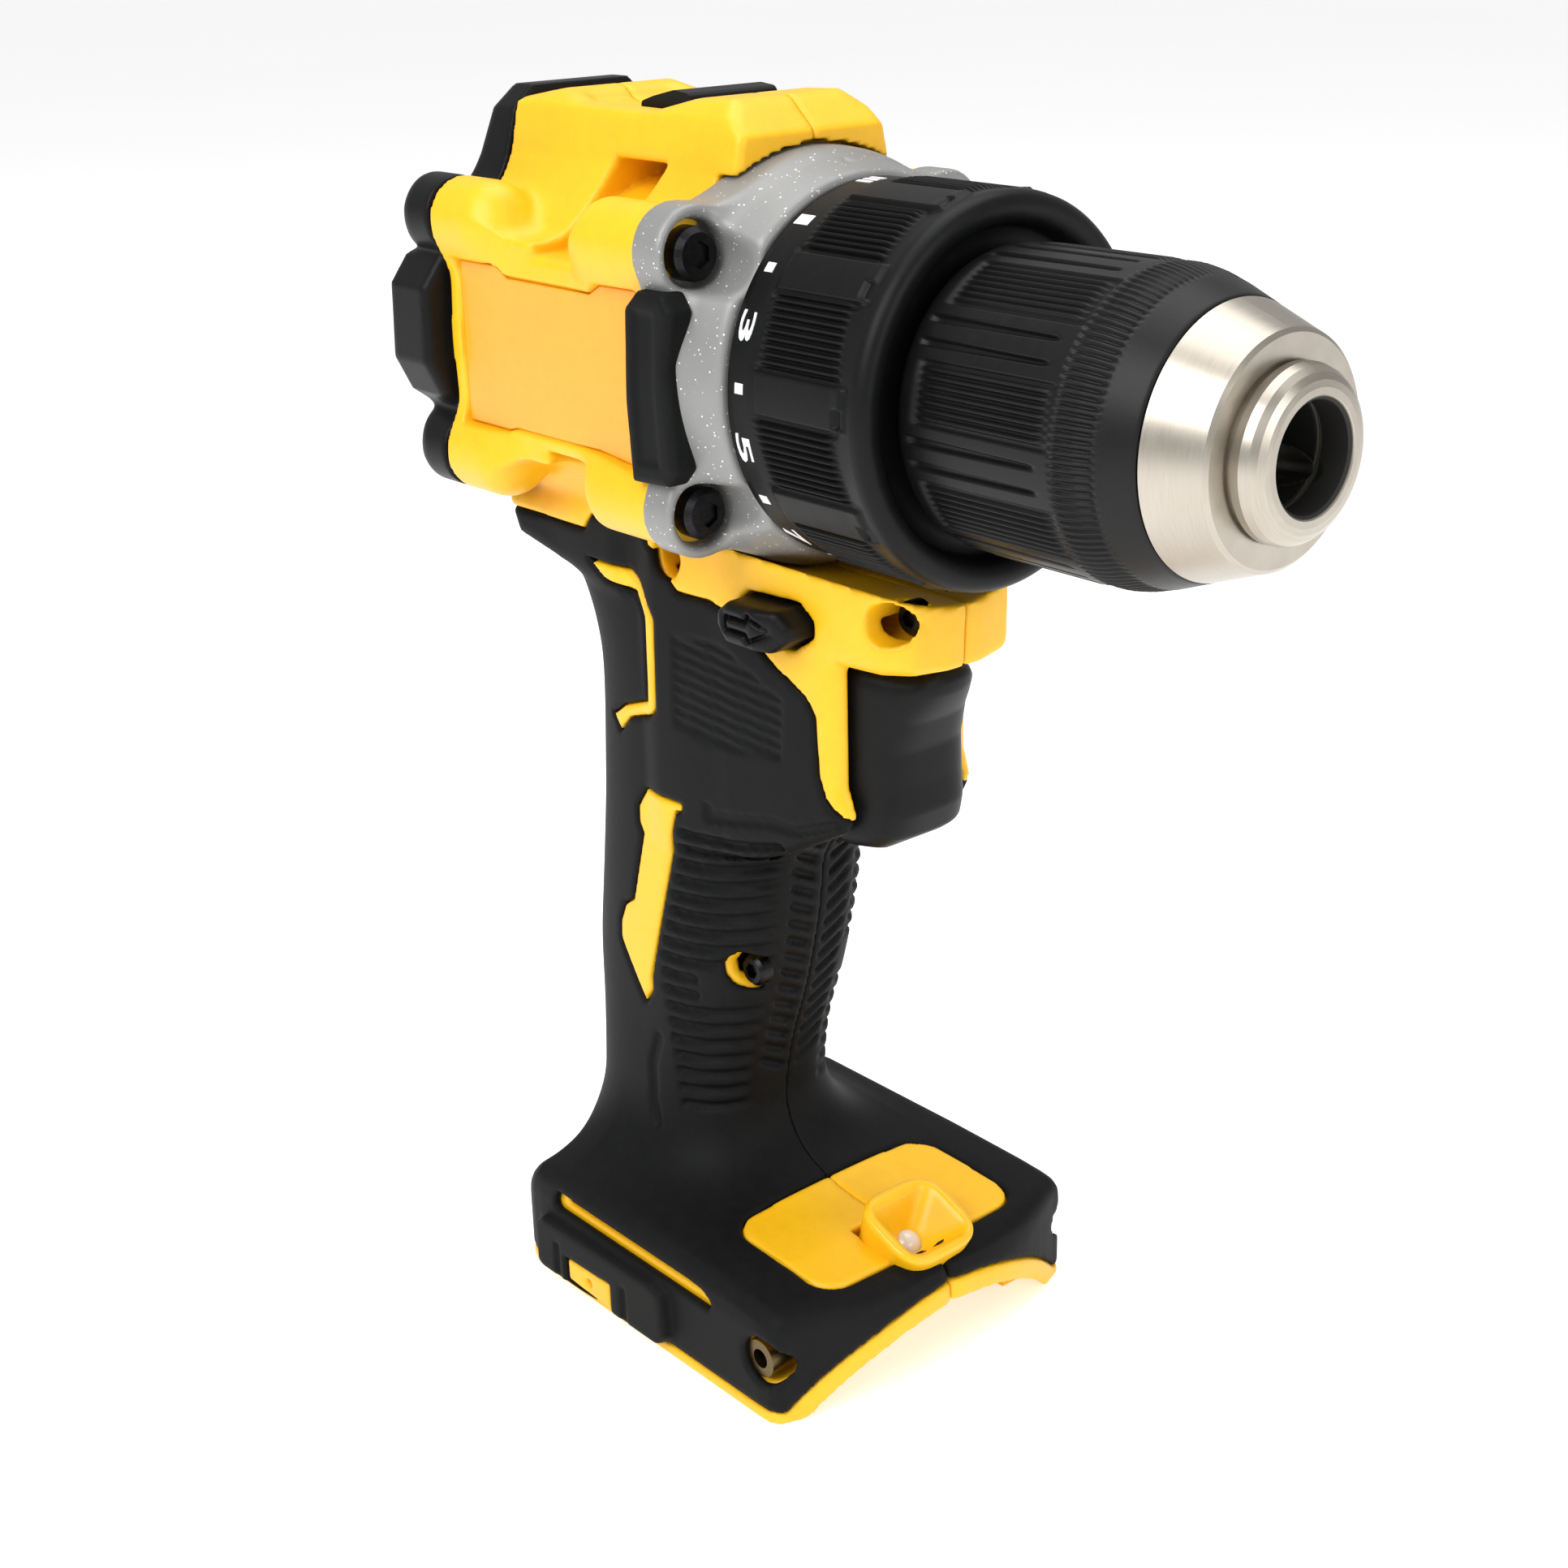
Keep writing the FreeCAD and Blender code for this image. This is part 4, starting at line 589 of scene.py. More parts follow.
# %% Holes that both halves share
SCREWS = [(2.4, 62.9, -17.0), (37.4, 131.2, -14.2), (-7.0, 133.6, -17.3)]     # x, z and the surface's y
SCREW_SINK = 8.2        # how deep the heads lie in their wells
WELL_DEPTH = 8.6
HOOK = (29.8, 11.0)


def round_hole(x, z, at, radius):
    return np.sqrt((x - at[0]) ** 2 + (z - at[1]) ** 2) - radius


def openings(x, y, z):
    """Trigger slot, button slot, battery bay, light seat and hook hole."""
    side = np.abs(y)
    trigger = np.maximum(side - 11.3, np.maximum(13.2 - x, np.maximum(z - 122.3, 84.0 - z)))
    button = outline(x, z, [(9.2, 127.2), (11.2, 124.3), (20.4, 124.3), (24.3, 127.0), (24.3, 129.2),
                            (21.8, 131.7), (11.6, 131.7), (9.2, 129.6)]) - 0.2
    shapes = np.minimum(trigger, button)
    shapes = np.minimum(shapes, bay_form(x, y, z))
    hook = np.maximum(round_hole(x, z, HOOK, 4.2), 26.2 - side)
    return np.minimum(shapes, hook)


COVER_SKIN = 1.6
CORE_DROP = 1.7         # the housing under the cover, just clear of it
TILT = math.radians(22.0)      # lean of the work light
LIGHT = (29.4, 18.5)


def light_axes(x, z):
    """Distances across and along the work light's own axis."""
    across = (x - LIGHT[0]) * math.cos(TILT) - (z - LIGHT[1]) * math.sin(TILT)
    along = (x - LIGHT[0]) * math.sin(TILT) + (z - LIGHT[1]) * math.cos(TILT)
    return across, along


def funnel_room(x, y, z):
    """Room that the housing leaves for the light's funnel."""
    across, along = light_axes(x, z)
    return np.maximum(np.maximum(np.abs(across) - 6.8, np.abs(y) - 7.6), -2.6 - along)


holes = openings(gx, gy, gz)


def yellow_field():
    radius = np.sqrt(gy * gy + (gz - AXIS) ** 2)
    bare = blend_max(outer, -area + 0.12, 0.5)
    core = outer + CORE_DROP
    form = np.minimum(bare, core)
    inside = np.maximum(outer + 3.9, gz - 131.0)
    inside = np.maximum(inside, 13.5 - gz)
    motor = np.maximum(radius - 24.9, DRUM_REAR - 9 - gx)
    form = cut(form, np.minimum(inside, motor), 0.4)
    up = gz - AXIS
    label = np.maximum(outline(gx, up, LABEL), 27.45 - np.abs(gy))
    form = cut(form, label, 0.3)
    for points in BAYS:
        bay = np.maximum(outline(gx, up, points), 26.2 - radius)
        form = cut(form, bay, 1.4)
    for points in VENTS:
        form = cut(form, np.maximum(outline(gx, up, points) - 0.2, 14.0 - np.abs(gy)), 0.5)
    selector = np.maximum(np.abs(gy) - 3.6, np.maximum(np.abs(gx + 17.0) - 10.2, 20.0 - up))
    form = cut(form, selector, 0.3)
    window = np.maximum(outline(gx, gz, WINDOW) + 0.2, np.maximum(np.abs(gy) - 35.2, 30.0 - np.abs(gy)))
    form = np.minimum(form, window)
    form = cut(form, np.maximum(round_hole(gx, gz, (-14.6, 4.9), 0.8), 33.6 - np.abs(gy)), 0.3)
    channel = outline(gx, gz, [(-24.4, 15.9), (-24.0, 17.0), (14.0, 16.6), (15.6, 15.6), (-24.0, 15.5)])
    form = cut(form, np.maximum(channel, 29.4 - np.abs(gy)), 0.4)
    form = cut(form, funnel_room(gx, gy, gz), 0.3)
    form = cut(form, holes, 0.5)
    case_room = np.maximum(radius - 31.5, DRUM_FRONT - gx)
    form = cut(form, np.maximum(case_room, np.minimum(outer - 5, AXIS - 30.5 - gz)), 0.3)
    return blend_max(form, gy + 0.06, 0.35)


yellow = yellow_field()
wells = np.full_like(yellow, 99.0)
for sx, sz, sy in SCREWS:
    hole = round_hole(gx, gz, (sx, sz), 3.6 if sz < 100 else 3.3)      # the grip's own hole is wider
    wells = np.minimum(wells, np.maximum(hole, gy - sy - WELL_DEPTH))
right_shell = solid("yellow_shell_right", cut(yellow, wells, 0.5), LOW, STEP)
left_shell = solid("yellow_shell_left", yellow, LOW, STEP, mirror=True)
dress(right_shell, YELLOW, "housing", "housing_yellow", "housing_right")
dress(left_shell, YELLOW, "housing", "housing_yellow", "housing_left")

# %% [markdown]
# ## Soft cover
# The cover is 1.6 mm thick. Its grip has curved grooves on both sides, short ones
# along the front, a line panel under the thumb, and a raised pad with finger marks
# low on the foot. They are pressed into the field before the surface is read.


# %% Grooves of the grip
def groove(distance, width, depth):
    """Smooth channel: full depth on its centre line, nothing past its width."""
    return depth * np.clip(1 - (distance / width) ** 2, 0, 1)


def grip_marks(x, y, z):
    side = np.abs(y)
    on_side = np.clip((side - 7.4) / 2.0, 0, 1)
    marks = np.zeros(np.broadcast(x, y, z).shape, dtype=np.float32)
    for i in range(18):
        base = 87.6 - 3.12 * i
        left = -5.4 - 0.95 * min(i, 8) + 0.35 * max(i - 10, 0)
        right = 20.5 - 0.55 * max(i - 1, 0) - (4.5 if i == 0 else 0)
        spans = ((left, -6.5), (7.6, right)) if i in (9, 10) else ((left, right),)     # round the screw
        for a, b in spans:
            drop = (x - left) * 0.05 + (x - left) ** 2 * 0.0046
            past = np.maximum(np.maximum(a - x, x - b), 0)
            line = np.sqrt((z - base - drop) ** 2 + past * past)
            marks = np.maximum(marks, groove(line, 0.95, 1.05) * on_side)
    for i in range(16):
        height = 90.5 - 3.2 * i
        past = np.maximum(np.abs(side - 3.8) - 1.8, 0)
        line = np.sqrt((z - height - (side - 4.6) * 0.5) ** 2 + past * past)
        front = (x > -6.0 + 0.2 * (z - 40)).astype(np.float32)
        marks = np.maximum(marks, groove(line, 0.9, 1.0) * front)
    hook_line = outline(x, z, [(0.9, 93.9), (1.4, 93.9), (1.6, 92.6), (15.4, 95.2), (20.1, 94.9),
                               (28.0, 98.0), (28.0, 97.4), (20.1, 94.3), (15.4, 94.6), (0.9, 91.8)])
    marks = np.maximum(marks, groove(np.maximum(hook_line, 0), 0.7, 0.6) * on_side)
    rear_line = outline(x, z, [(-16.2, 46), (-18.2, 40.4), (-18.0, 33), (-16.0, 29), (-15.4, 29.3),
                               (-17.4, 33.2), (-17.6, 40.2), (-15.6, 45.8)])
    return np.maximum(marks, groove(np.maximum(rear_line, 0), 0.7, 0.6) * on_side)


LINES = [(-5.9, 121.6), (5.0, 122.4), (18.1, 115.8), (17.7, 105.6), (1.9, 104.5), (-6.1, 105.8)]


def cover_field():
    side = np.abs(gy)
    skin = outer + grip_marks(gx, gy, gz)
    panel = np.clip(-outline(gx, gz, LINES) * 2, 0, 1) * np.clip((side - 10.0) / 2, 0, 1)
    waves = 0.5 + 0.5 * np.cos(2 * math.pi * (gz + gx * 0.11) / 1.9)
    skin = skin + (panel * (0.12 + 0.5 * waves)).astype(np.float32)
    pad = outline(gx, gz, [(-29.8, 3.4), (-28.6, 1.8), (4.6, 1.8), (7.0, 4.4), (6.4, 12.6), (3.0, 13.6),
                           (-27.5, 12.8), (-29.8, 11.0)])
    pad = blend_max(pad, side - 35.6, 1.2)
    raised = np.maximum(pad, 31.0 - side)
    skin = blend_min(skin, raised, 0.9)
    for mark in (-23.2, -4.2):
        line = np.maximum(np.abs(gx - mark), np.maximum(np.abs(gz - 6.0) - 2.8, 0))
        skin = skin + groove(line, 0.8, 0.7) * (side > 30)
    slot = outline(gx, gz, [(-26.0, 14.9), (-25.6, 17.7), (14.8, 17.2), (17.4, 15.8), (16.8, 14.3),
                            (-25.6, 14.5)])
    slot = np.maximum(slot, 24.0 - side)
    form = blend_max(skin, -(outer + COVER_SKIN), 0.3)
    form = blend_max(form, area + 0.12, 0.6)
    form = cut(form, slot, 0.4)
    form = cut(form, holes, 0.6)
    return blend_max(form, gy + 0.06, 0.35)


cover = cover_field()
right_cover = solid("soft_cover_right", cut(cover, wells, 0.7), LOW, STEP)
left_cover = solid("soft_cover_left", cover, LOW, STEP, mirror=True)
dress(right_cover, RUBBER, "housing", "soft_black", "grip_cover_right")
dress(left_cover, RUBBER, "housing", "soft_black", "grip_cover_left")

# %% [markdown]
# ## Rear cap, gear case and bumpers
# The cap is hard black plastic with four screw lobes and air slots. The gear case
# is a painted casting that carries the collar, with a well round each screw and a
# small pointer notch on top. Rubber bumpers stand out on both sides.

# %% Rear cap
FINE, FINER = 0.5, 0.4      # grid steps of the smaller pieces


def lobed(side, up, barrel, lobe, soft=5.0):
    """Round section with four screw lobes."""
    form = np.sqrt(side * side + up * up) - barrel
    for sy, sz in QUADRANTS:
        boss = np.sqrt((side - sy * 25.0) ** 2 + (up - sz * SEAT_UP) ** 2) - lobe
        form = blend_min(form, boss, soft)
    return form


def seat_distances(y, up):
    """Distance to each of the four screw axes."""
    return [np.sqrt((y - sy * SEAT_OUT) ** 2 + (up - sz * SEAT_UP) ** 2) for sy, sz in QUADRANTS]


def cap_field(x, y, z):
    up, side = z - AXIS, np.abs(y)
    section = lobed(y, up, 27.0, 6.3)
    top = outline(side, up, [(-1, 37.6), (9.6, 37.6), (13.4, 34.2), (15.4, 27.0), (19.5, 18.0), (-1, 14.0)])
    section = blend_min(section, top, 3.0)
    wing = outline(side, up, [(20.0, 14.6), (29.0, 12.4), (32.4, 8.0), (32.8, -4.0), (30.0, -9.6),
                              (26.0, -12.4), (20.0, -12.4)])
    wing = blend_max(wing, np.maximum(-58.0 - x, x + 47.2), 1.6)
    rear = -57.4 + 0.03 * np.maximum(side - 22.0, 0) ** 2
    rear = rear + np.maximum(up - 20.0, 0) * 0.22 + np.maximum(-up - 20.0, 0) * 0.2
    body = blend_max(section, rear - x, 3.0)
    body = blend_max(body, x + 46.7, 0.5)
    body = blend_min(body, wing, 1.6)
    for level in (-12.0, -6.0, 0.0, 6.0, 12.0):
        slot = np.maximum(np.abs(up - level) - 1.1, np.maximum(side - 12.0 + 0.02 * level * level, x + 52.0))
        body = cut(body, slot, 0.5)
    slot = np.maximum(np.abs(up) - 8.0, np.maximum(np.abs(side - 26.6) - 1.3, x + 55.0))
    body = cut(body, slot, 0.6)
    for well in seat_distances(y, up):
        body = cut(body, np.maximum(well - 3.9, x + 53.0), 0.6)
    inside = np.maximum(np.sqrt(y * y + up * up) - 22.8, -52.6 - x)
    return cut(body, inside, 0.3)


cap_grid_low = (-60.0, -36.0, AXIS - 34.0)
cx, cy, cz = grid(cap_grid_low, (-44.5, 36.0, AXIS + 40.0), FINE)
rear_cap = solid("rear_cap_shell", cap_field(cx, cy, cz), cap_grid_low, FINE)
dress(rear_cap, BLACK, "housing", "cap_black", "rear_cap")

# %% Gear case
def case_field(x, y, z):
    up = z - AXIS
    radius = np.sqrt(y * y + up * up)
    flange = lobed(y, up, 29.4, 6.9, 7.0)
    flange = blend_max(flange, np.maximum(DRUM_FRONT + 0.15 - x, x - 12.8), 1.2)
    reach = np.interp(x.ravel(), [3, 8, 12.5, 17, 21.4], [31.2, 31.2, 30.9, 29.6, 28.3])
    crown = radius - reach.astype(np.float32)[:, None, None]
    crown = blend_max(crown, np.maximum(DRUM_FRONT + 0.15 - x, x - 21.2), 1.0)
    body = blend_min(flange, crown, 3.0)
    for well in seat_distances(y, up):
        room = blend_max(well - 4.9, 9.9 - x, 0.8)
        body = cut(body, room, 1.6)
        body = cut(body, well - 2.1, 0.3)
    notch = outline(y, x, [(-2.6, 21.5), (2.6, 21.5), (0.0, 16.2)])
    body = cut(body, np.maximum(notch, 29.3 - up), 0.5)
    inside = np.maximum(radius - 23.6, x - 19.0)
    inside = np.minimum(inside, radius - 18.2)
    return cut(body, inside, 0.3)


case_grid_low = (2.0, -36.0, AXIS - 38.0)
kx, ky, kz = grid(case_grid_low, (23.0, 36.0, AXIS + 34.0), FINE)
gear_case = solid("gear_case_casting", case_field(kx, ky, kz), case_grid_low, FINE)
dress(gear_case, CASE, "housing", "case_grey", "gear_case")

# %% Side bumpers
def bumper_field(x, y, z):
    up = z - AXIS
    face = outline(x, up, [(7.8, 13.8), (13.6, 13.9), (15.4, 11.4), (13.8, 4.0), (15.2, -11.2), (13.2, -13.4),
                           (5.2, -13.9), (4.3, -2.0), (5.0, 11.2)])
    pad = blend_max(face - 0.2, np.abs(y + 30.2) - 2.4, 1.4)
    ridge = outline(x, up, [(7.4, 11.0), (11.6, 11.0), (11.0, 0.0), (11.8, -10.6), (7.2, -10.8), (6.6, 0.0)])
    return cut(pad, blend_max(ridge, y + 32.2, 0.6), 0.6)


bump_low = (2.0, -34.0, AXIS - 17.0)
bx, by, bz = grid(bump_low, (18.0, -26.0, AXIS + 17.0), FINER)
bumper = bumper_field(bx, by, bz)
for hand, flip in (("right", False), ("left", True)):
    piece = solid("bumper_" + hand, bumper, bump_low, FINER, mirror=flip)
    dress(piece, RUBBER, "housing", "soft_black", "side_bumper_" + hand)

# %% Trigger
def trigger_field(x, y, z):
    side = np.abs(y)
    side_view = outline(x, z, [(20, 122.0), (38.2, 122.0), (39.6, 120.6), (39.4, 118.2), (35.6, 113.6),
                               (33.9, 108.6), (34.2, 103.0), (34.8, 98.6), (33.6, 94.8), (30.4, 92.8),
                               (26.0, 92.4), (20.0, 92.8)])
    ahead = np.maximum(x - 21.0, 0) / 19.6
    bow = (np.sqrt(ahead ** 2 + (side / 10.9) ** 2) - 1) * 10.9
    return blend_max(side_view - 0.4, bow, 4.0)


trig_low = (18.0, -12.5, 90.0)
tx, ty, tz = grid(trig_low, (42.0, 12.5, 124.0), FINE)
trigger_shape = blend_max(trigger_field(tx, ty, tz), 20.0 - tx, 0.3)
lever_room = np.maximum(np.abs(ty) - 6.0, np.maximum(tx - 22.0, 121.0 - tz))
trigger = solid("trigger_shape", cut(trigger_shape, lever_room, 0.3), trig_low, FINE)
dress(trigger, BLACK, "trigger", "soft_black", "trigger")

# %% Direction button, pushed through from side to side
def button_field(x, y, z):
    side = np.abs(y)
    face = outline(x, z, [(9.4, 127.2), (11.4, 124.6), (20.4, 124.6), (23.9, 127.1), (23.9, 129.0), (21.6, 131.3),
                          (11.8, 131.3), (9.4, 129.4)])
    bar = blend_max(face, side - 21.4 + np.maximum(x - 18.0, 0) * 0.35, 1.6)
    arrow = outline(x, z, [(11.6, 127.0), (16.6, 127.0), (16.6, 125.9), (21.0, 128.0), (16.6, 130.1),
                           (16.6, 129.0), (11.6, 129.0)])
    bar = cut(bar, np.maximum(np.abs(arrow) - 0.3, 20.2 - side), 0.3)
    room = np.maximum(np.maximum(9.9 - x, x - 16.1), np.maximum(side - 1.8, z - 128.6))
    return cut(bar, room, 0.2)


push_low = (7.5, -23.0, 122.5)
px, py, pz = grid(push_low, (25.5, 23.0, 133.5), FINER)
button = solid("direction_push", button_field(px, py, pz), push_low, FINER)
dress(button, BLACK, "direction_button", "soft_black", "direction_button")

# %% Light bezel: a rounded square funnel on the foot
def bezel_field(x, y, z):
    u, w = light_axes(x, z)
    taper = np.clip(w, -3, 9) * 0.10
    square = blend_max(np.abs(u) - 7.2 - taper, np.abs(y) - 8.0 - taper, 6.0)
    outer_form = blend_max(square, np.maximum(-3.0 - w, w - 6.6), 1.2)
    mouth = np.clip((w - 0.4) / 6.2, 0, 1)
    funnel = blend_max(np.abs(u - 0.4) - 2.1 - 3.9 * mouth, np.abs(y) - 2.1 - 4.6 * mouth, 2.6)
    funnel = np.maximum(funnel, 0.4 - w)
    form = cut(outer_form, funnel, 0.8)
    wire = np.sqrt(u * u + y * y) - 2.0
    return cut(form, np.maximum(wire, -9.0 - w), 0.3)


bez_low = (16.0, -13.0, 11.0)
zx, zy, zz = grid(bez_low, (43.0, 13.0, 29.0), FINER)
bezel = solid("light_funnel", bezel_field(zx, zy, zz), bez_low, FINER)
dress(bezel, BEZEL, "housing", "bezel_yellow", "light_bezel")

# %% [markdown]
# ## Turned grips with relief
# Collar and chuck sleeve are turned parts with moulded relief: rib fields, smooth
# pads and long grooves that repeat round the axis. A revolved sheet whose radius is
# a function of length and angle gives every rib real depth in one clean mesh.

# %% A turned skin with relief
COLUMNS = 1080


def fine_rows(points, step):
    """Points of a turned profile, split finely, as rows of length, radius and relief."""
    rows = []
    for (x0, r0, w0), (x1, r1, w1) in zip(points, points[1:] + points[:1]):
        size = step if max(w0, w1) > 0 else step * 3
        count = max(1, int(math.hypot(x1 - x0, r1 - r0) / size))
        for i in range(count):
            t = i / count
            rows.append((x0 + (x1 - x0) * t, r0 + (r1 - r0) * t, w0 + (w1 - w0) * t))
    return np.array(rows)


def turned_skin(name, points, relief, step=0.6):
    rows = fine_rows(points, step)
    turn = 2 * math.pi * np.arange(COLUMNS) / COLUMNS
    x, r, weight = (rows[:, i][:, None] for i in range(3))
    radius = r + relief(x, np.degrees(turn)[None, :]) * weight
    verts = np.stack([np.broadcast_to(x, radius.shape), -radius * np.sin(turn),
                      AXIS + radius * np.cos(turn)], axis=-1)
    index = np.arange(radius.size).reshape(radius.shape)
    nxt, down = np.roll(index, -1, axis=1), np.roll(index, -1, axis=0)
    quads = np.stack([index, nxt, np.roll(nxt, -1, axis=0), down], axis=-1).reshape(-1, 4)
    mesh = bpy.data.meshes.new(name)
    mesh.from_pydata((verts.reshape(-1, 3) * MM).tolist(), [], quads.tolist())
    mesh.polygons.foreach_set("use_smooth", [True] * len(mesh.polygons))
    mesh.update()
    print(name, len(quads), "faces")
    return new_object(name, mesh)


def soft_band(value, half, soft):
    """1 inside a band about zero, 0 outside, with eased sides."""
    t = np.clip((half - np.abs(value)) / soft + 0.5, 0, 1)
    return t * t * (3 - 2 * t)


def from_nearest(angle, first, period):
    return (angle - first + period / 2) % period - period / 2


# %% Numbered collar
NUMBER_1 = 32.4         # angle of the first numeral from the top, toward the tool's right
STEP_ANGLE = 18.0


def collar_relief(x, angle):
    number = from_nearest(angle, NUMBER_1, 2 * STEP_ANGLE)
    dot = from_nearest(angle, NUMBER_1 + STEP_ANGLE, 2 * STEP_ANGLE)
    slant = x - 0.05 * number
    ribs = 0.5 + 0.5 * np.cos(2 * math.pi * number / 2.2)
    field = soft_band(number, 11.4, 1.2) * soft_band(slant - 36.0, 7.6, 2.0)
    pads = soft_band(dot, 6.2, 1.4) * soft_band(x - 36.9, 9.2, 1.0)
    mark = soft_band(dot - 2.4, 2.6, 0.8) * soft_band(x - 45.1, 0.55, 0.5)
    channel = soft_band(dot, 8.2, 1.2) * soft_band(x - 36.0, 8.6, 1.2)
    return field * (ribs * 0.95 - 0.35) + pads * 0.75 - (channel - pads) * channel * 0.35 - mark * 0.8


# Each row of a profile is length, radius and how much of the relief it carries.
collar = turned_skin("torque_collar", [
    (21.65, 25.4, 0), (21.65, 27.3, 0), (21.95, 27.65, 0), (27.0, 27.7, 0), (27.4, 27.6, 1), (44.6, 27.55, 1),
    (46.6, 27.9, 1), (47.6, 28.05, 0.2), (48.8, 27.85, 0), (49.6, 27.2, 0), (50.0, 26.3, 0), (49.9, 25.2, 0),
    (49.4, 24.2, 0), (48.6, 23.5, 0), (47.0, 23.1, 0), (46.4, 22.6, 0), (46.2, 18.0, 0), (46.2, 15.0, 0),
    (44.4, 15.0, 0), (44.4, 25.2, 0),
], collar_relief, 0.42)
dress(collar, BLACK, "collar", "soft_black", "clutch_collar")


# %% Chuck sleeve
PANEL_1 = 33.0
PANEL_STEP = 45.0


def sleeve_relief(x, angle):
    panel = from_nearest(angle, PANEL_1, PANEL_STEP)
    pair = from_nearest(angle, PANEL_1 + PANEL_STEP / 2, PANEL_STEP)
    ribs = 0.5 + 0.5 * np.cos(2 * math.pi * panel / 2.9)
    frame_in = soft_band(panel, 11.6, 1.2) * soft_band(x - 64.5, 12.0, 1.8)
    rib_in = soft_band(panel, 10.2, 1.0) * soft_band(x - 64.6, 10.9, 2.4)
    long_way = soft_band(x - 62.6, 11.2, 2.2)
    narrow = 1.5 - 0.03 * (x - 52.0)
    grooves = (soft_band(pair - 4.6, narrow, 1.3) + soft_band(pair + 4.6, narrow, 1.3)) * long_way
    knurl = (0.5 + 0.5 * np.cos(2 * math.pi * angle / 3.0)) * soft_band(x - 80.2, 3.0, 1.0)
    return rib_in * ribs * 0.62 - frame_in * 0.5 - grooves * 0.75 - knurl * 0.45


sleeve = turned_skin("grip_sleeve", [
    (48.7, 18.6, 0), (48.7, 20.0, 0), (49.0, 20.5, 0), (50.0, 21.0, 0), (51.4, 21.3, 1), (52.4, 21.4, 1),
    (78.6, 21.5, 1), (80.6, 21.15, 1), (83.4, 20.3, 1), (86.4, 19.2, 0), (88.0, 18.62, 0), (88.6, 18.38, 0),
    (88.75, 18.1, 0), (88.6, 17.8, 0), (80.0, 17.9, 0), (78.0, 19.8, 0), (52.0, 19.6, 0), (51.0, 18.6, 0),
], sleeve_relief, 0.44)
dress(sleeve, SLEEVE, "sleeve", "soft_black", "chuck_sleeve")

# %% [markdown]
# ## Numbers on the dial
# The torque numbers are painted on the collar's rear band. Each is cut from a text
# outline, made wide and low, wrapped round the band and raised by a hair of paint.

# %% Numerals and dots
MARK_SINK = 0.3         # how deep the paint's plates reach into the collar
PAINT = 0.06            # and how far they stand out
MARK_X = 22.9


def wrap(mesh, centre, base_x, radius):
    """Bend a flat mark round the collar: its width turns, its height runs forward."""
    for vertex in mesh.vertices:
        wide, high, thick = vertex.co
        angle = math.radians(centre) + wide / radius
        reach = radius + thick
        vertex.co = Vector((base_x + high, -reach * math.sin(angle), AXIS + reach * math.cos(angle))) * MM


def flat_mark(outline_points, thick):
    """A thin plate from a closed outline, finely split across so that it can bend."""
    left = min(p[0] for p in outline_points)
    right = max(p[0] for p in outline_points)
    rows = [left + (right - left) * i / 8 for i in range(9)]
    low, high = min(p[1] for p in outline_points), max(p[1] for p in outline_points)
    verts = [(w, h, t) for t in (-MARK_SINK, thick) for w in rows for h in (low, high)]
    n = len(rows) * 2
    faces = []
    for i in range(len(rows) - 1):
        a, b, c, d = 2 * i, 2 * i + 1, 2 * i + 3, 2 * i + 2
        faces += [(a, b, c, d), (n + a, n + d, n + c, n + b), (a, d, n + d, n + a), (b, n + b, n + c, c)]
    faces += [(0, n, n + 1, 1), (n - 2, n - 1, 2 * n - 1, 2 * n - 2)]
    return verts, faces


def numeral(text, wide, high, thick):
    """A text outline turned into a thin solid, centred across and standing on its base."""
    curve = bpy.data.curves.new("numeral", "FONT")
    curve.body = text
    curve.extrude = 0.5
    curve.offset = 0.012
    curve.resolution_u = 3
    holder = bpy.data.objects.new("numeral", curve)
    bpy.context.scene.collection.objects.link(holder)
    bpy.context.view_layer.update()
    mesh = bpy.data.meshes.new_from_object(holder.evaluated_get(bpy.context.evaluated_depsgraph_get()))
    bpy.data.objects.remove(holder)
    room = {1: 0.45 if text == "1" else 1.0, 2: 1.72}[len(text)]      # share of a plain digit's width
    places = np.array([v.co for v in mesh.vertices])
    low, high_corner = places.min(0), places.max(0)
    extent = high_corner - low
    for vertex in mesh.vertices:
        at = (np.array(vertex.co) - low) / extent
        vertex.co = ((at[0] - 0.5) * wide * room, at[1] * high, -MARK_SINK + at[2] * (MARK_SINK + thick))
    return mesh


def dial_marks():
    verts, faces = [], []
    radius = 27.72

    def add(mesh):
        base = len(verts)
        verts.extend(tuple(v.co) for v in mesh.vertices)
        faces.extend(tuple(base + i for i in p.vertices) for p in mesh.polygons)

    def add_plate(left, right, high, centre, base_x):
        plate_verts, plate_faces = flat_mark([(left, 0), (right, 0), (right, high), (left, high)], PAINT)
        mesh = bpy.data.meshes.new("mark")
        mesh.from_pydata(plate_verts, [], plate_faces)
        wrap(mesh, centre, base_x, radius)
        add(mesh)

    for place in range(15):
        centre = NUMBER_1 + STEP_ANGLE * place
        if place % 2 == 0:
            mesh = numeral(str(place + 1), 4.4, 2.9, PAINT)
            wrap(mesh, centre, MARK_X, radius)
            add(mesh)
        else:
            add_plate(-0.75, 0.75, 1.7, centre, 23.6)
    for shift in (-1.3, 0.0, 1.3):
        add_plate(-0.4 + shift, 0.4 + shift, 2.9, 4.5, MARK_X)
    mesh = bpy.data.meshes.new("dial_marks")
    mesh.from_pydata(verts, [], faces)
    mesh.update()
    return new_object("dial_marks", mesh)


marks = dial_marks()
print("marks", len(marks.data.polygons), "faces")
dress(marks, MARKS, "collar", "soft_black")

# %% [markdown]
# ## Label panels and screws
# The side panels are thin plates set into shallow recesses. They stay plain.
# The screws repeat, so a small node tree builds one button head with its six-sided
# socket and places it at every screw's seat.

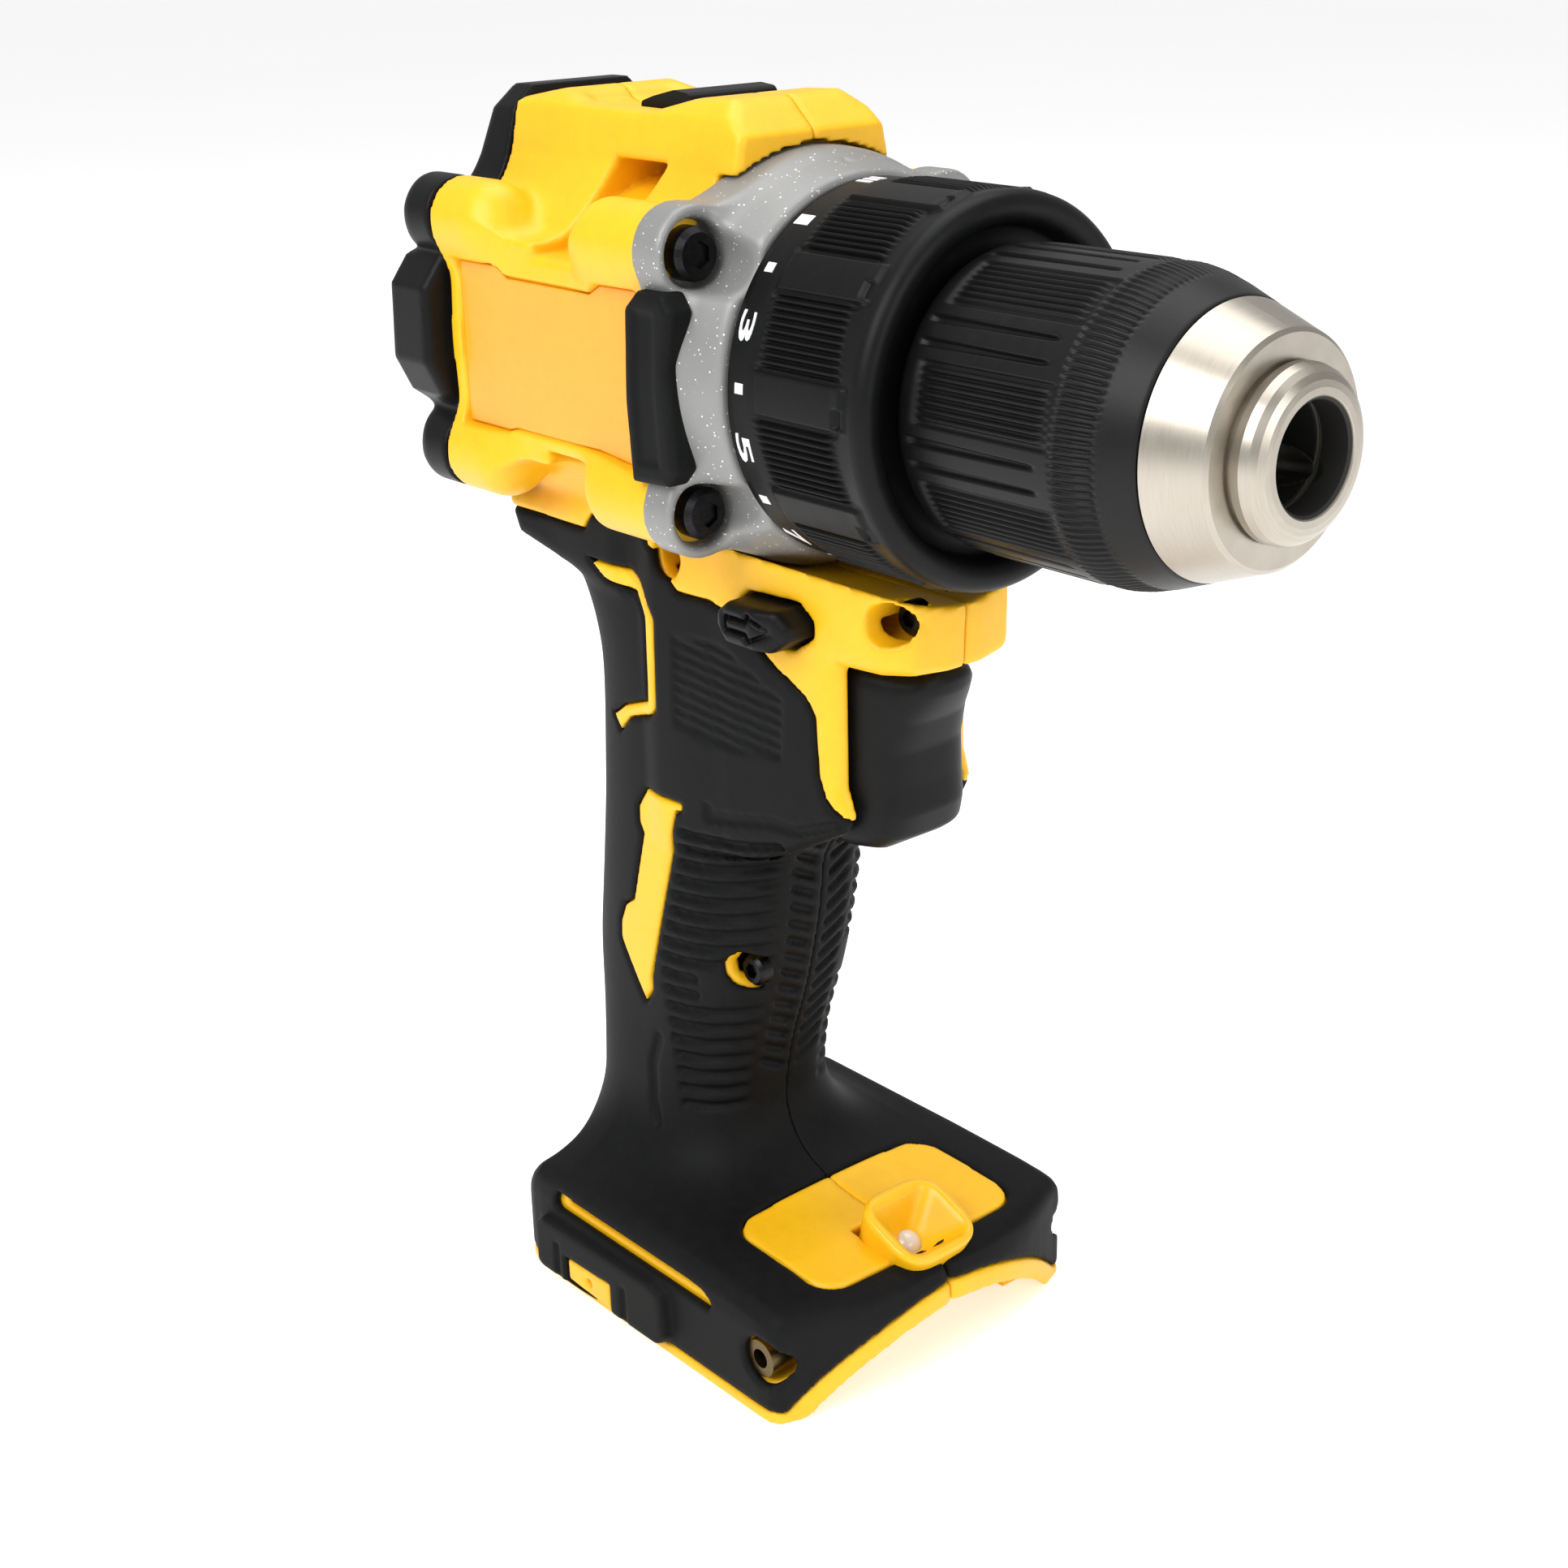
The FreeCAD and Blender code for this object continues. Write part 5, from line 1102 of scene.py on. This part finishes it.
# %% Side panels
def label_panel(name, sign):
    height, face = 0.55, 28.15
    inner = [(x * 0.988 - 0.24, up * 0.975) for x, up in LABEL]
    top = [(x * 0.992 - 0.16, up * 0.985) for x, up in inner]
    verts = []
    for depth, ring in ((face - height, inner), (face - 0.12, inner), (face, top)):
        verts += [(x * MM, sign * depth * MM, (AXIS + up) * MM) for x, up in ring]
    n = len(inner)
    faces = [tuple(range(n)), tuple(range(3 * n - 1, 2 * n - 1, -1))]
    for level in range(2):
        for i in range(n):
            j = (i + 1) % n
            a, b = level * n, (level + 1) * n
            faces.append((a + i, b + i, b + j, a + j))
    if sign > 0:
        faces = [f[::-1] for f in faces]
    mesh = bpy.data.meshes.new(name)
    mesh.from_pydata(verts, [], faces)
    mesh.update()
    return new_object(name, mesh)


panel_right = label_panel("panel_right", -1)
panel_left = label_panel("panel_left", 1)
dress(panel_right, AMBER, "housing", "label_amber", "label_panels")
dress(panel_left, AMBER, "housing", "label_amber")

# %% Screw heads from one node tree
def screw_tree():
    tree = bpy.data.node_groups.new("screw_heads", "GeometryNodeTree")
    face = tree.interface
    face.new_socket("Geometry", in_out="INPUT", socket_type="NodeSocketGeometry")
    inputs = {}
    for title, start in (("Head radius", 0.0036), ("Head height", 0.0022), ("Socket radius", 0.0016)):
        inputs[title] = face.new_socket(title, in_out="INPUT", socket_type="NodeSocketFloat")
        inputs[title].default_value = start
    inputs["Facing"] = face.new_socket("Facing", in_out="INPUT", socket_type="NodeSocketVector")
    inputs["Finish"] = face.new_socket("Finish", in_out="INPUT", socket_type="NodeSocketMaterial")
    face.new_socket("Geometry", in_out="OUTPUT", socket_type="NodeSocketGeometry")

    def add(kind, **settings):
        node = tree.nodes.new(kind)
        for key, value in settings.items():
            setattr(node, key, value)
        return node

    def share(part):
        """Multiply by a fixed part."""
        node = add("ShaderNodeMath", operation="MULTIPLY")
        node.inputs[1].default_value = part
        return node

    source, result = add("NodeGroupInput"), add("NodeGroupOutput")
    body = add("GeometryNodeMeshCylinder")
    body.inputs["Vertices"].default_value = 40
    crown = add("GeometryNodeMeshCone")
    crown.inputs["Vertices"].default_value = 40
    socket = add("GeometryNodeMeshCylinder")
    socket.inputs["Vertices"].default_value = 6
    socket.inputs["Depth"].default_value = 0.0030
    height = add("ShaderNodeCombineXYZ")
    lift = add("GeometryNodeTransform")
    lift_socket = add("GeometryNodeTransform")
    half, rim, dome, deep = (share(part) for part in (0.5, 0.80, 0.28, 1.05))
    place_socket = add("ShaderNodeCombineXYZ")
    join = add("GeometryNodeMeshBoolean", operation="UNION")
    drill = add("GeometryNodeMeshBoolean", operation="DIFFERENCE")
    spread = add("GeometryNodeInstanceOnPoints")
    turn = add("FunctionNodeEulerToRotation")
    real = add("GeometryNodeRealizeInstances")
    paint = add("GeometryNodeSetMaterial")
    links = (
        (source, "Head radius", body, "Radius"),
        (source, "Head height", body, "Depth"),
        (source, "Head radius", crown, "Radius Bottom"),
        (source, "Head radius", rim, 0),
        (rim, 0, crown, "Radius Top"),
        (source, "Head height", dome, 0),
        (dome, 0, crown, "Depth"),
        (source, "Head height", half, 0),
        (half, 0, height, "Z"),
        (crown, "Mesh", lift, "Geometry"),
        (height, 0, lift, "Translation"),
        (source, "Socket radius", socket, "Radius"),
        (source, "Head height", deep, 0),
        (deep, 0, place_socket, "Z"),
        (socket, "Mesh", lift_socket, "Geometry"),
        (place_socket, 0, lift_socket, "Translation"),
        (body, "Mesh", join, "Mesh 2"),
        (lift, "Geometry", join, "Mesh 2"),
        (join, "Mesh", drill, "Mesh 1"),
        (lift_socket, "Geometry", drill, "Mesh 2"),
        (source, "Geometry", spread, "Points"),
        (drill, "Mesh", spread, "Instance"),
        (source, "Facing", turn, "Euler"),
        (turn, 0, spread, "Rotation"),
        (spread, "Instances", real, "Geometry"),
        (real, "Geometry", paint, "Geometry"),
        (source, "Finish", paint, "Material"),
        (paint, "Geometry", result, "Geometry"),
    )
    for start, output, end, entry in links:
        tree.links.new(start.outputs[output], end.inputs[entry])
    return tree, {title: item.identifier for title, item in inputs.items()}


SCREW_TREE, SCREW_INPUT = screw_tree()


def screw_heads(name, seats, facing, head, height, socket):
    """Screw heads standing on their seats, as one plain mesh."""
    mesh = bpy.data.meshes.new(name)
    mesh.from_pydata([tuple(v * MM for v in seat) for seat in seats], [], [])
    piece = new_object(name, mesh)
    modifier = piece.modifiers.new("heads", "NODES")
    modifier.node_group = SCREW_TREE
    for title, value in (("Head radius", head * MM), ("Head height", height * MM),
                         ("Socket radius", socket * MM), ("Facing", facing), ("Finish", SCREW)):
        modifier[SCREW_INPUT[title]] = value
    bpy.context.view_layer.update()
    done = bpy.data.meshes.new_from_object(piece.evaluated_get(bpy.context.evaluated_depsgraph_get()))
    piece.modifiers.clear()
    piece.data = done
    print(name, len(done.polygons), "faces")
    return piece


QUARTER = math.pi / 2
CORNERS = [(sy * SEAT_OUT, AXIS + sz * SEAT_UP) for sy, sz in QUADRANTS]
case_screws = screw_heads("case_screws", [(11.2, y, z) for y, z in CORNERS], (0, QUARTER, 0), 3.9, 3.2, 2.0)
dress(case_screws, SCREW, "housing", "screw_black", "gear_case_screws")
cap_screws = screw_heads("cap_screws", [(-52.0, y, z) for y, z in CORNERS], (0, -QUARTER, 0), 3.3, 2.2, 1.7)
dress(cap_screws, SCREW, "housing", "screw_black", "rear_cap_screws")
side_seats = [(x, y + SCREW_SINK, z) for x, z, y in SCREWS]
side_screws = screw_heads("side_screws", side_seats, (QUARTER, 0, 0), 2.7, 2.0, 1.4)
dress(side_screws, SCREW, "housing", "screw_black", "housing_screws")

# %% [markdown]
# ## Parts kept from the working model
# Motor, gears, jaws, switch and terminals already have their right shapes. They
# keep them, and each gets the finish that belongs to its own material slot.

# %% Finish every part that is still shown
BY_SLOT = {
    "housing_yellow": YELLOW, "soft_black": BLACK, "cap_black": BLACK, "label_amber": AMBER,
    "bezel_yellow": BEZEL, "case_grey": CASE, "screw_black": SCREW, "satin_steel": NOSE, "gear_steel": STEEL,
    "lamination": IRON, "copper": COPPER, "board_green": BOARD, "inner_black": INNER, "lens_clear": LENS,
    "brass": SHADE_DARKENED_BRASS,
}
slot_of = {part["node"]: part["material_slot"] for part in frame["record"]["subparts"]}
for node, part in frame["nodes"].items():
    for place in part.material_slots:
        place.material = BY_SLOT[slot_of[node]]
print("finished", len(frame["nodes"]), "parts of the working model")

# %% [markdown]
# ## Floor, light and camera
# A pale floor, broad soft lights from above and the side, and one fixed camera.

# %% Studio
def studio():
    mesh = bpy.data.meshes.new("floor")
    size = 30.0
    mesh.from_pydata([(-size, -size, 0), (size, -size, 0), (size, size, 0), (-size, size, 0)], [], [(0, 1, 2, 3)])
    floor = new_object("floor", mesh)
    paper = Finish("pale_floor")
    tone = paper.mix(paper.noise(3.0), (0.86, 0.86, 0.86), (0.88, 0.88, 0.88))
    paper.set(Base_Color=tone, Roughness=0.7, Specular_IOR_Level=0.1)
    paper.set(Emission_Color=tone, Emission_Strength=0.56)      # keeps the far floor as pale as the near one
    mesh.materials.append(paper.material)

    world = bpy.data.worlds.new("studio")
    world.use_nodes = True
    world.node_tree.nodes["Background"].inputs["Color"].default_value = (1.0, 1.0, 1.0, 1.0)
    world.node_tree.nodes["Background"].inputs["Strength"].default_value = 0.5
    bpy.context.scene.world = world
    bpy.context.scene.view_settings.view_transform = "Standard"

    for name, place, target, size, power in (
        ("key", (0.15, -0.75, 0.85), (0.0, 0.0, 0.12), 0.7, 9.0),
        ("top", (-0.1, 0.2, 1.1), (0.0, 0.0, 0.10), 0.9, 6.5),
        ("front", (0.95, 0.1, 0.45), (0.0, 0.0, 0.12), 0.5, 2.6),
    ):
        lamp = bpy.data.lights.new(name, "AREA")
        lamp.size = size
        lamp.energy = power
        holder = bpy.data.objects.new(name, lamp)
        bpy.context.scene.collection.objects.link(holder)
        holder.location = place
        aim = Vector(target) - Vector(place)
        holder.rotation_euler = aim.to_track_quat("-Z", "Y").to_euler()


studio()


# %% Camera
def look():
    right = Vector((0.65493, 0.75537, -0.02180))
    up = Vector((-0.26296, 0.25484, 0.93054))
    back = right.cross(up)
    lens = bpy.data.cameras.new("camera")
    lens.lens = 53.81
    lens.sensor_width = 36.0
    lens.clip_start = 0.01
    camera = bpy.data.objects.new("camera", lens)
    bpy.context.scene.collection.objects.link(camera)
    turn = Matrix((right, up, back)).transposed().to_4x4()
    camera.matrix_world = Matrix.Translation((0.273507, -0.233329, 0.233970)) @ turn
    bpy.context.scene.camera = camera


look()
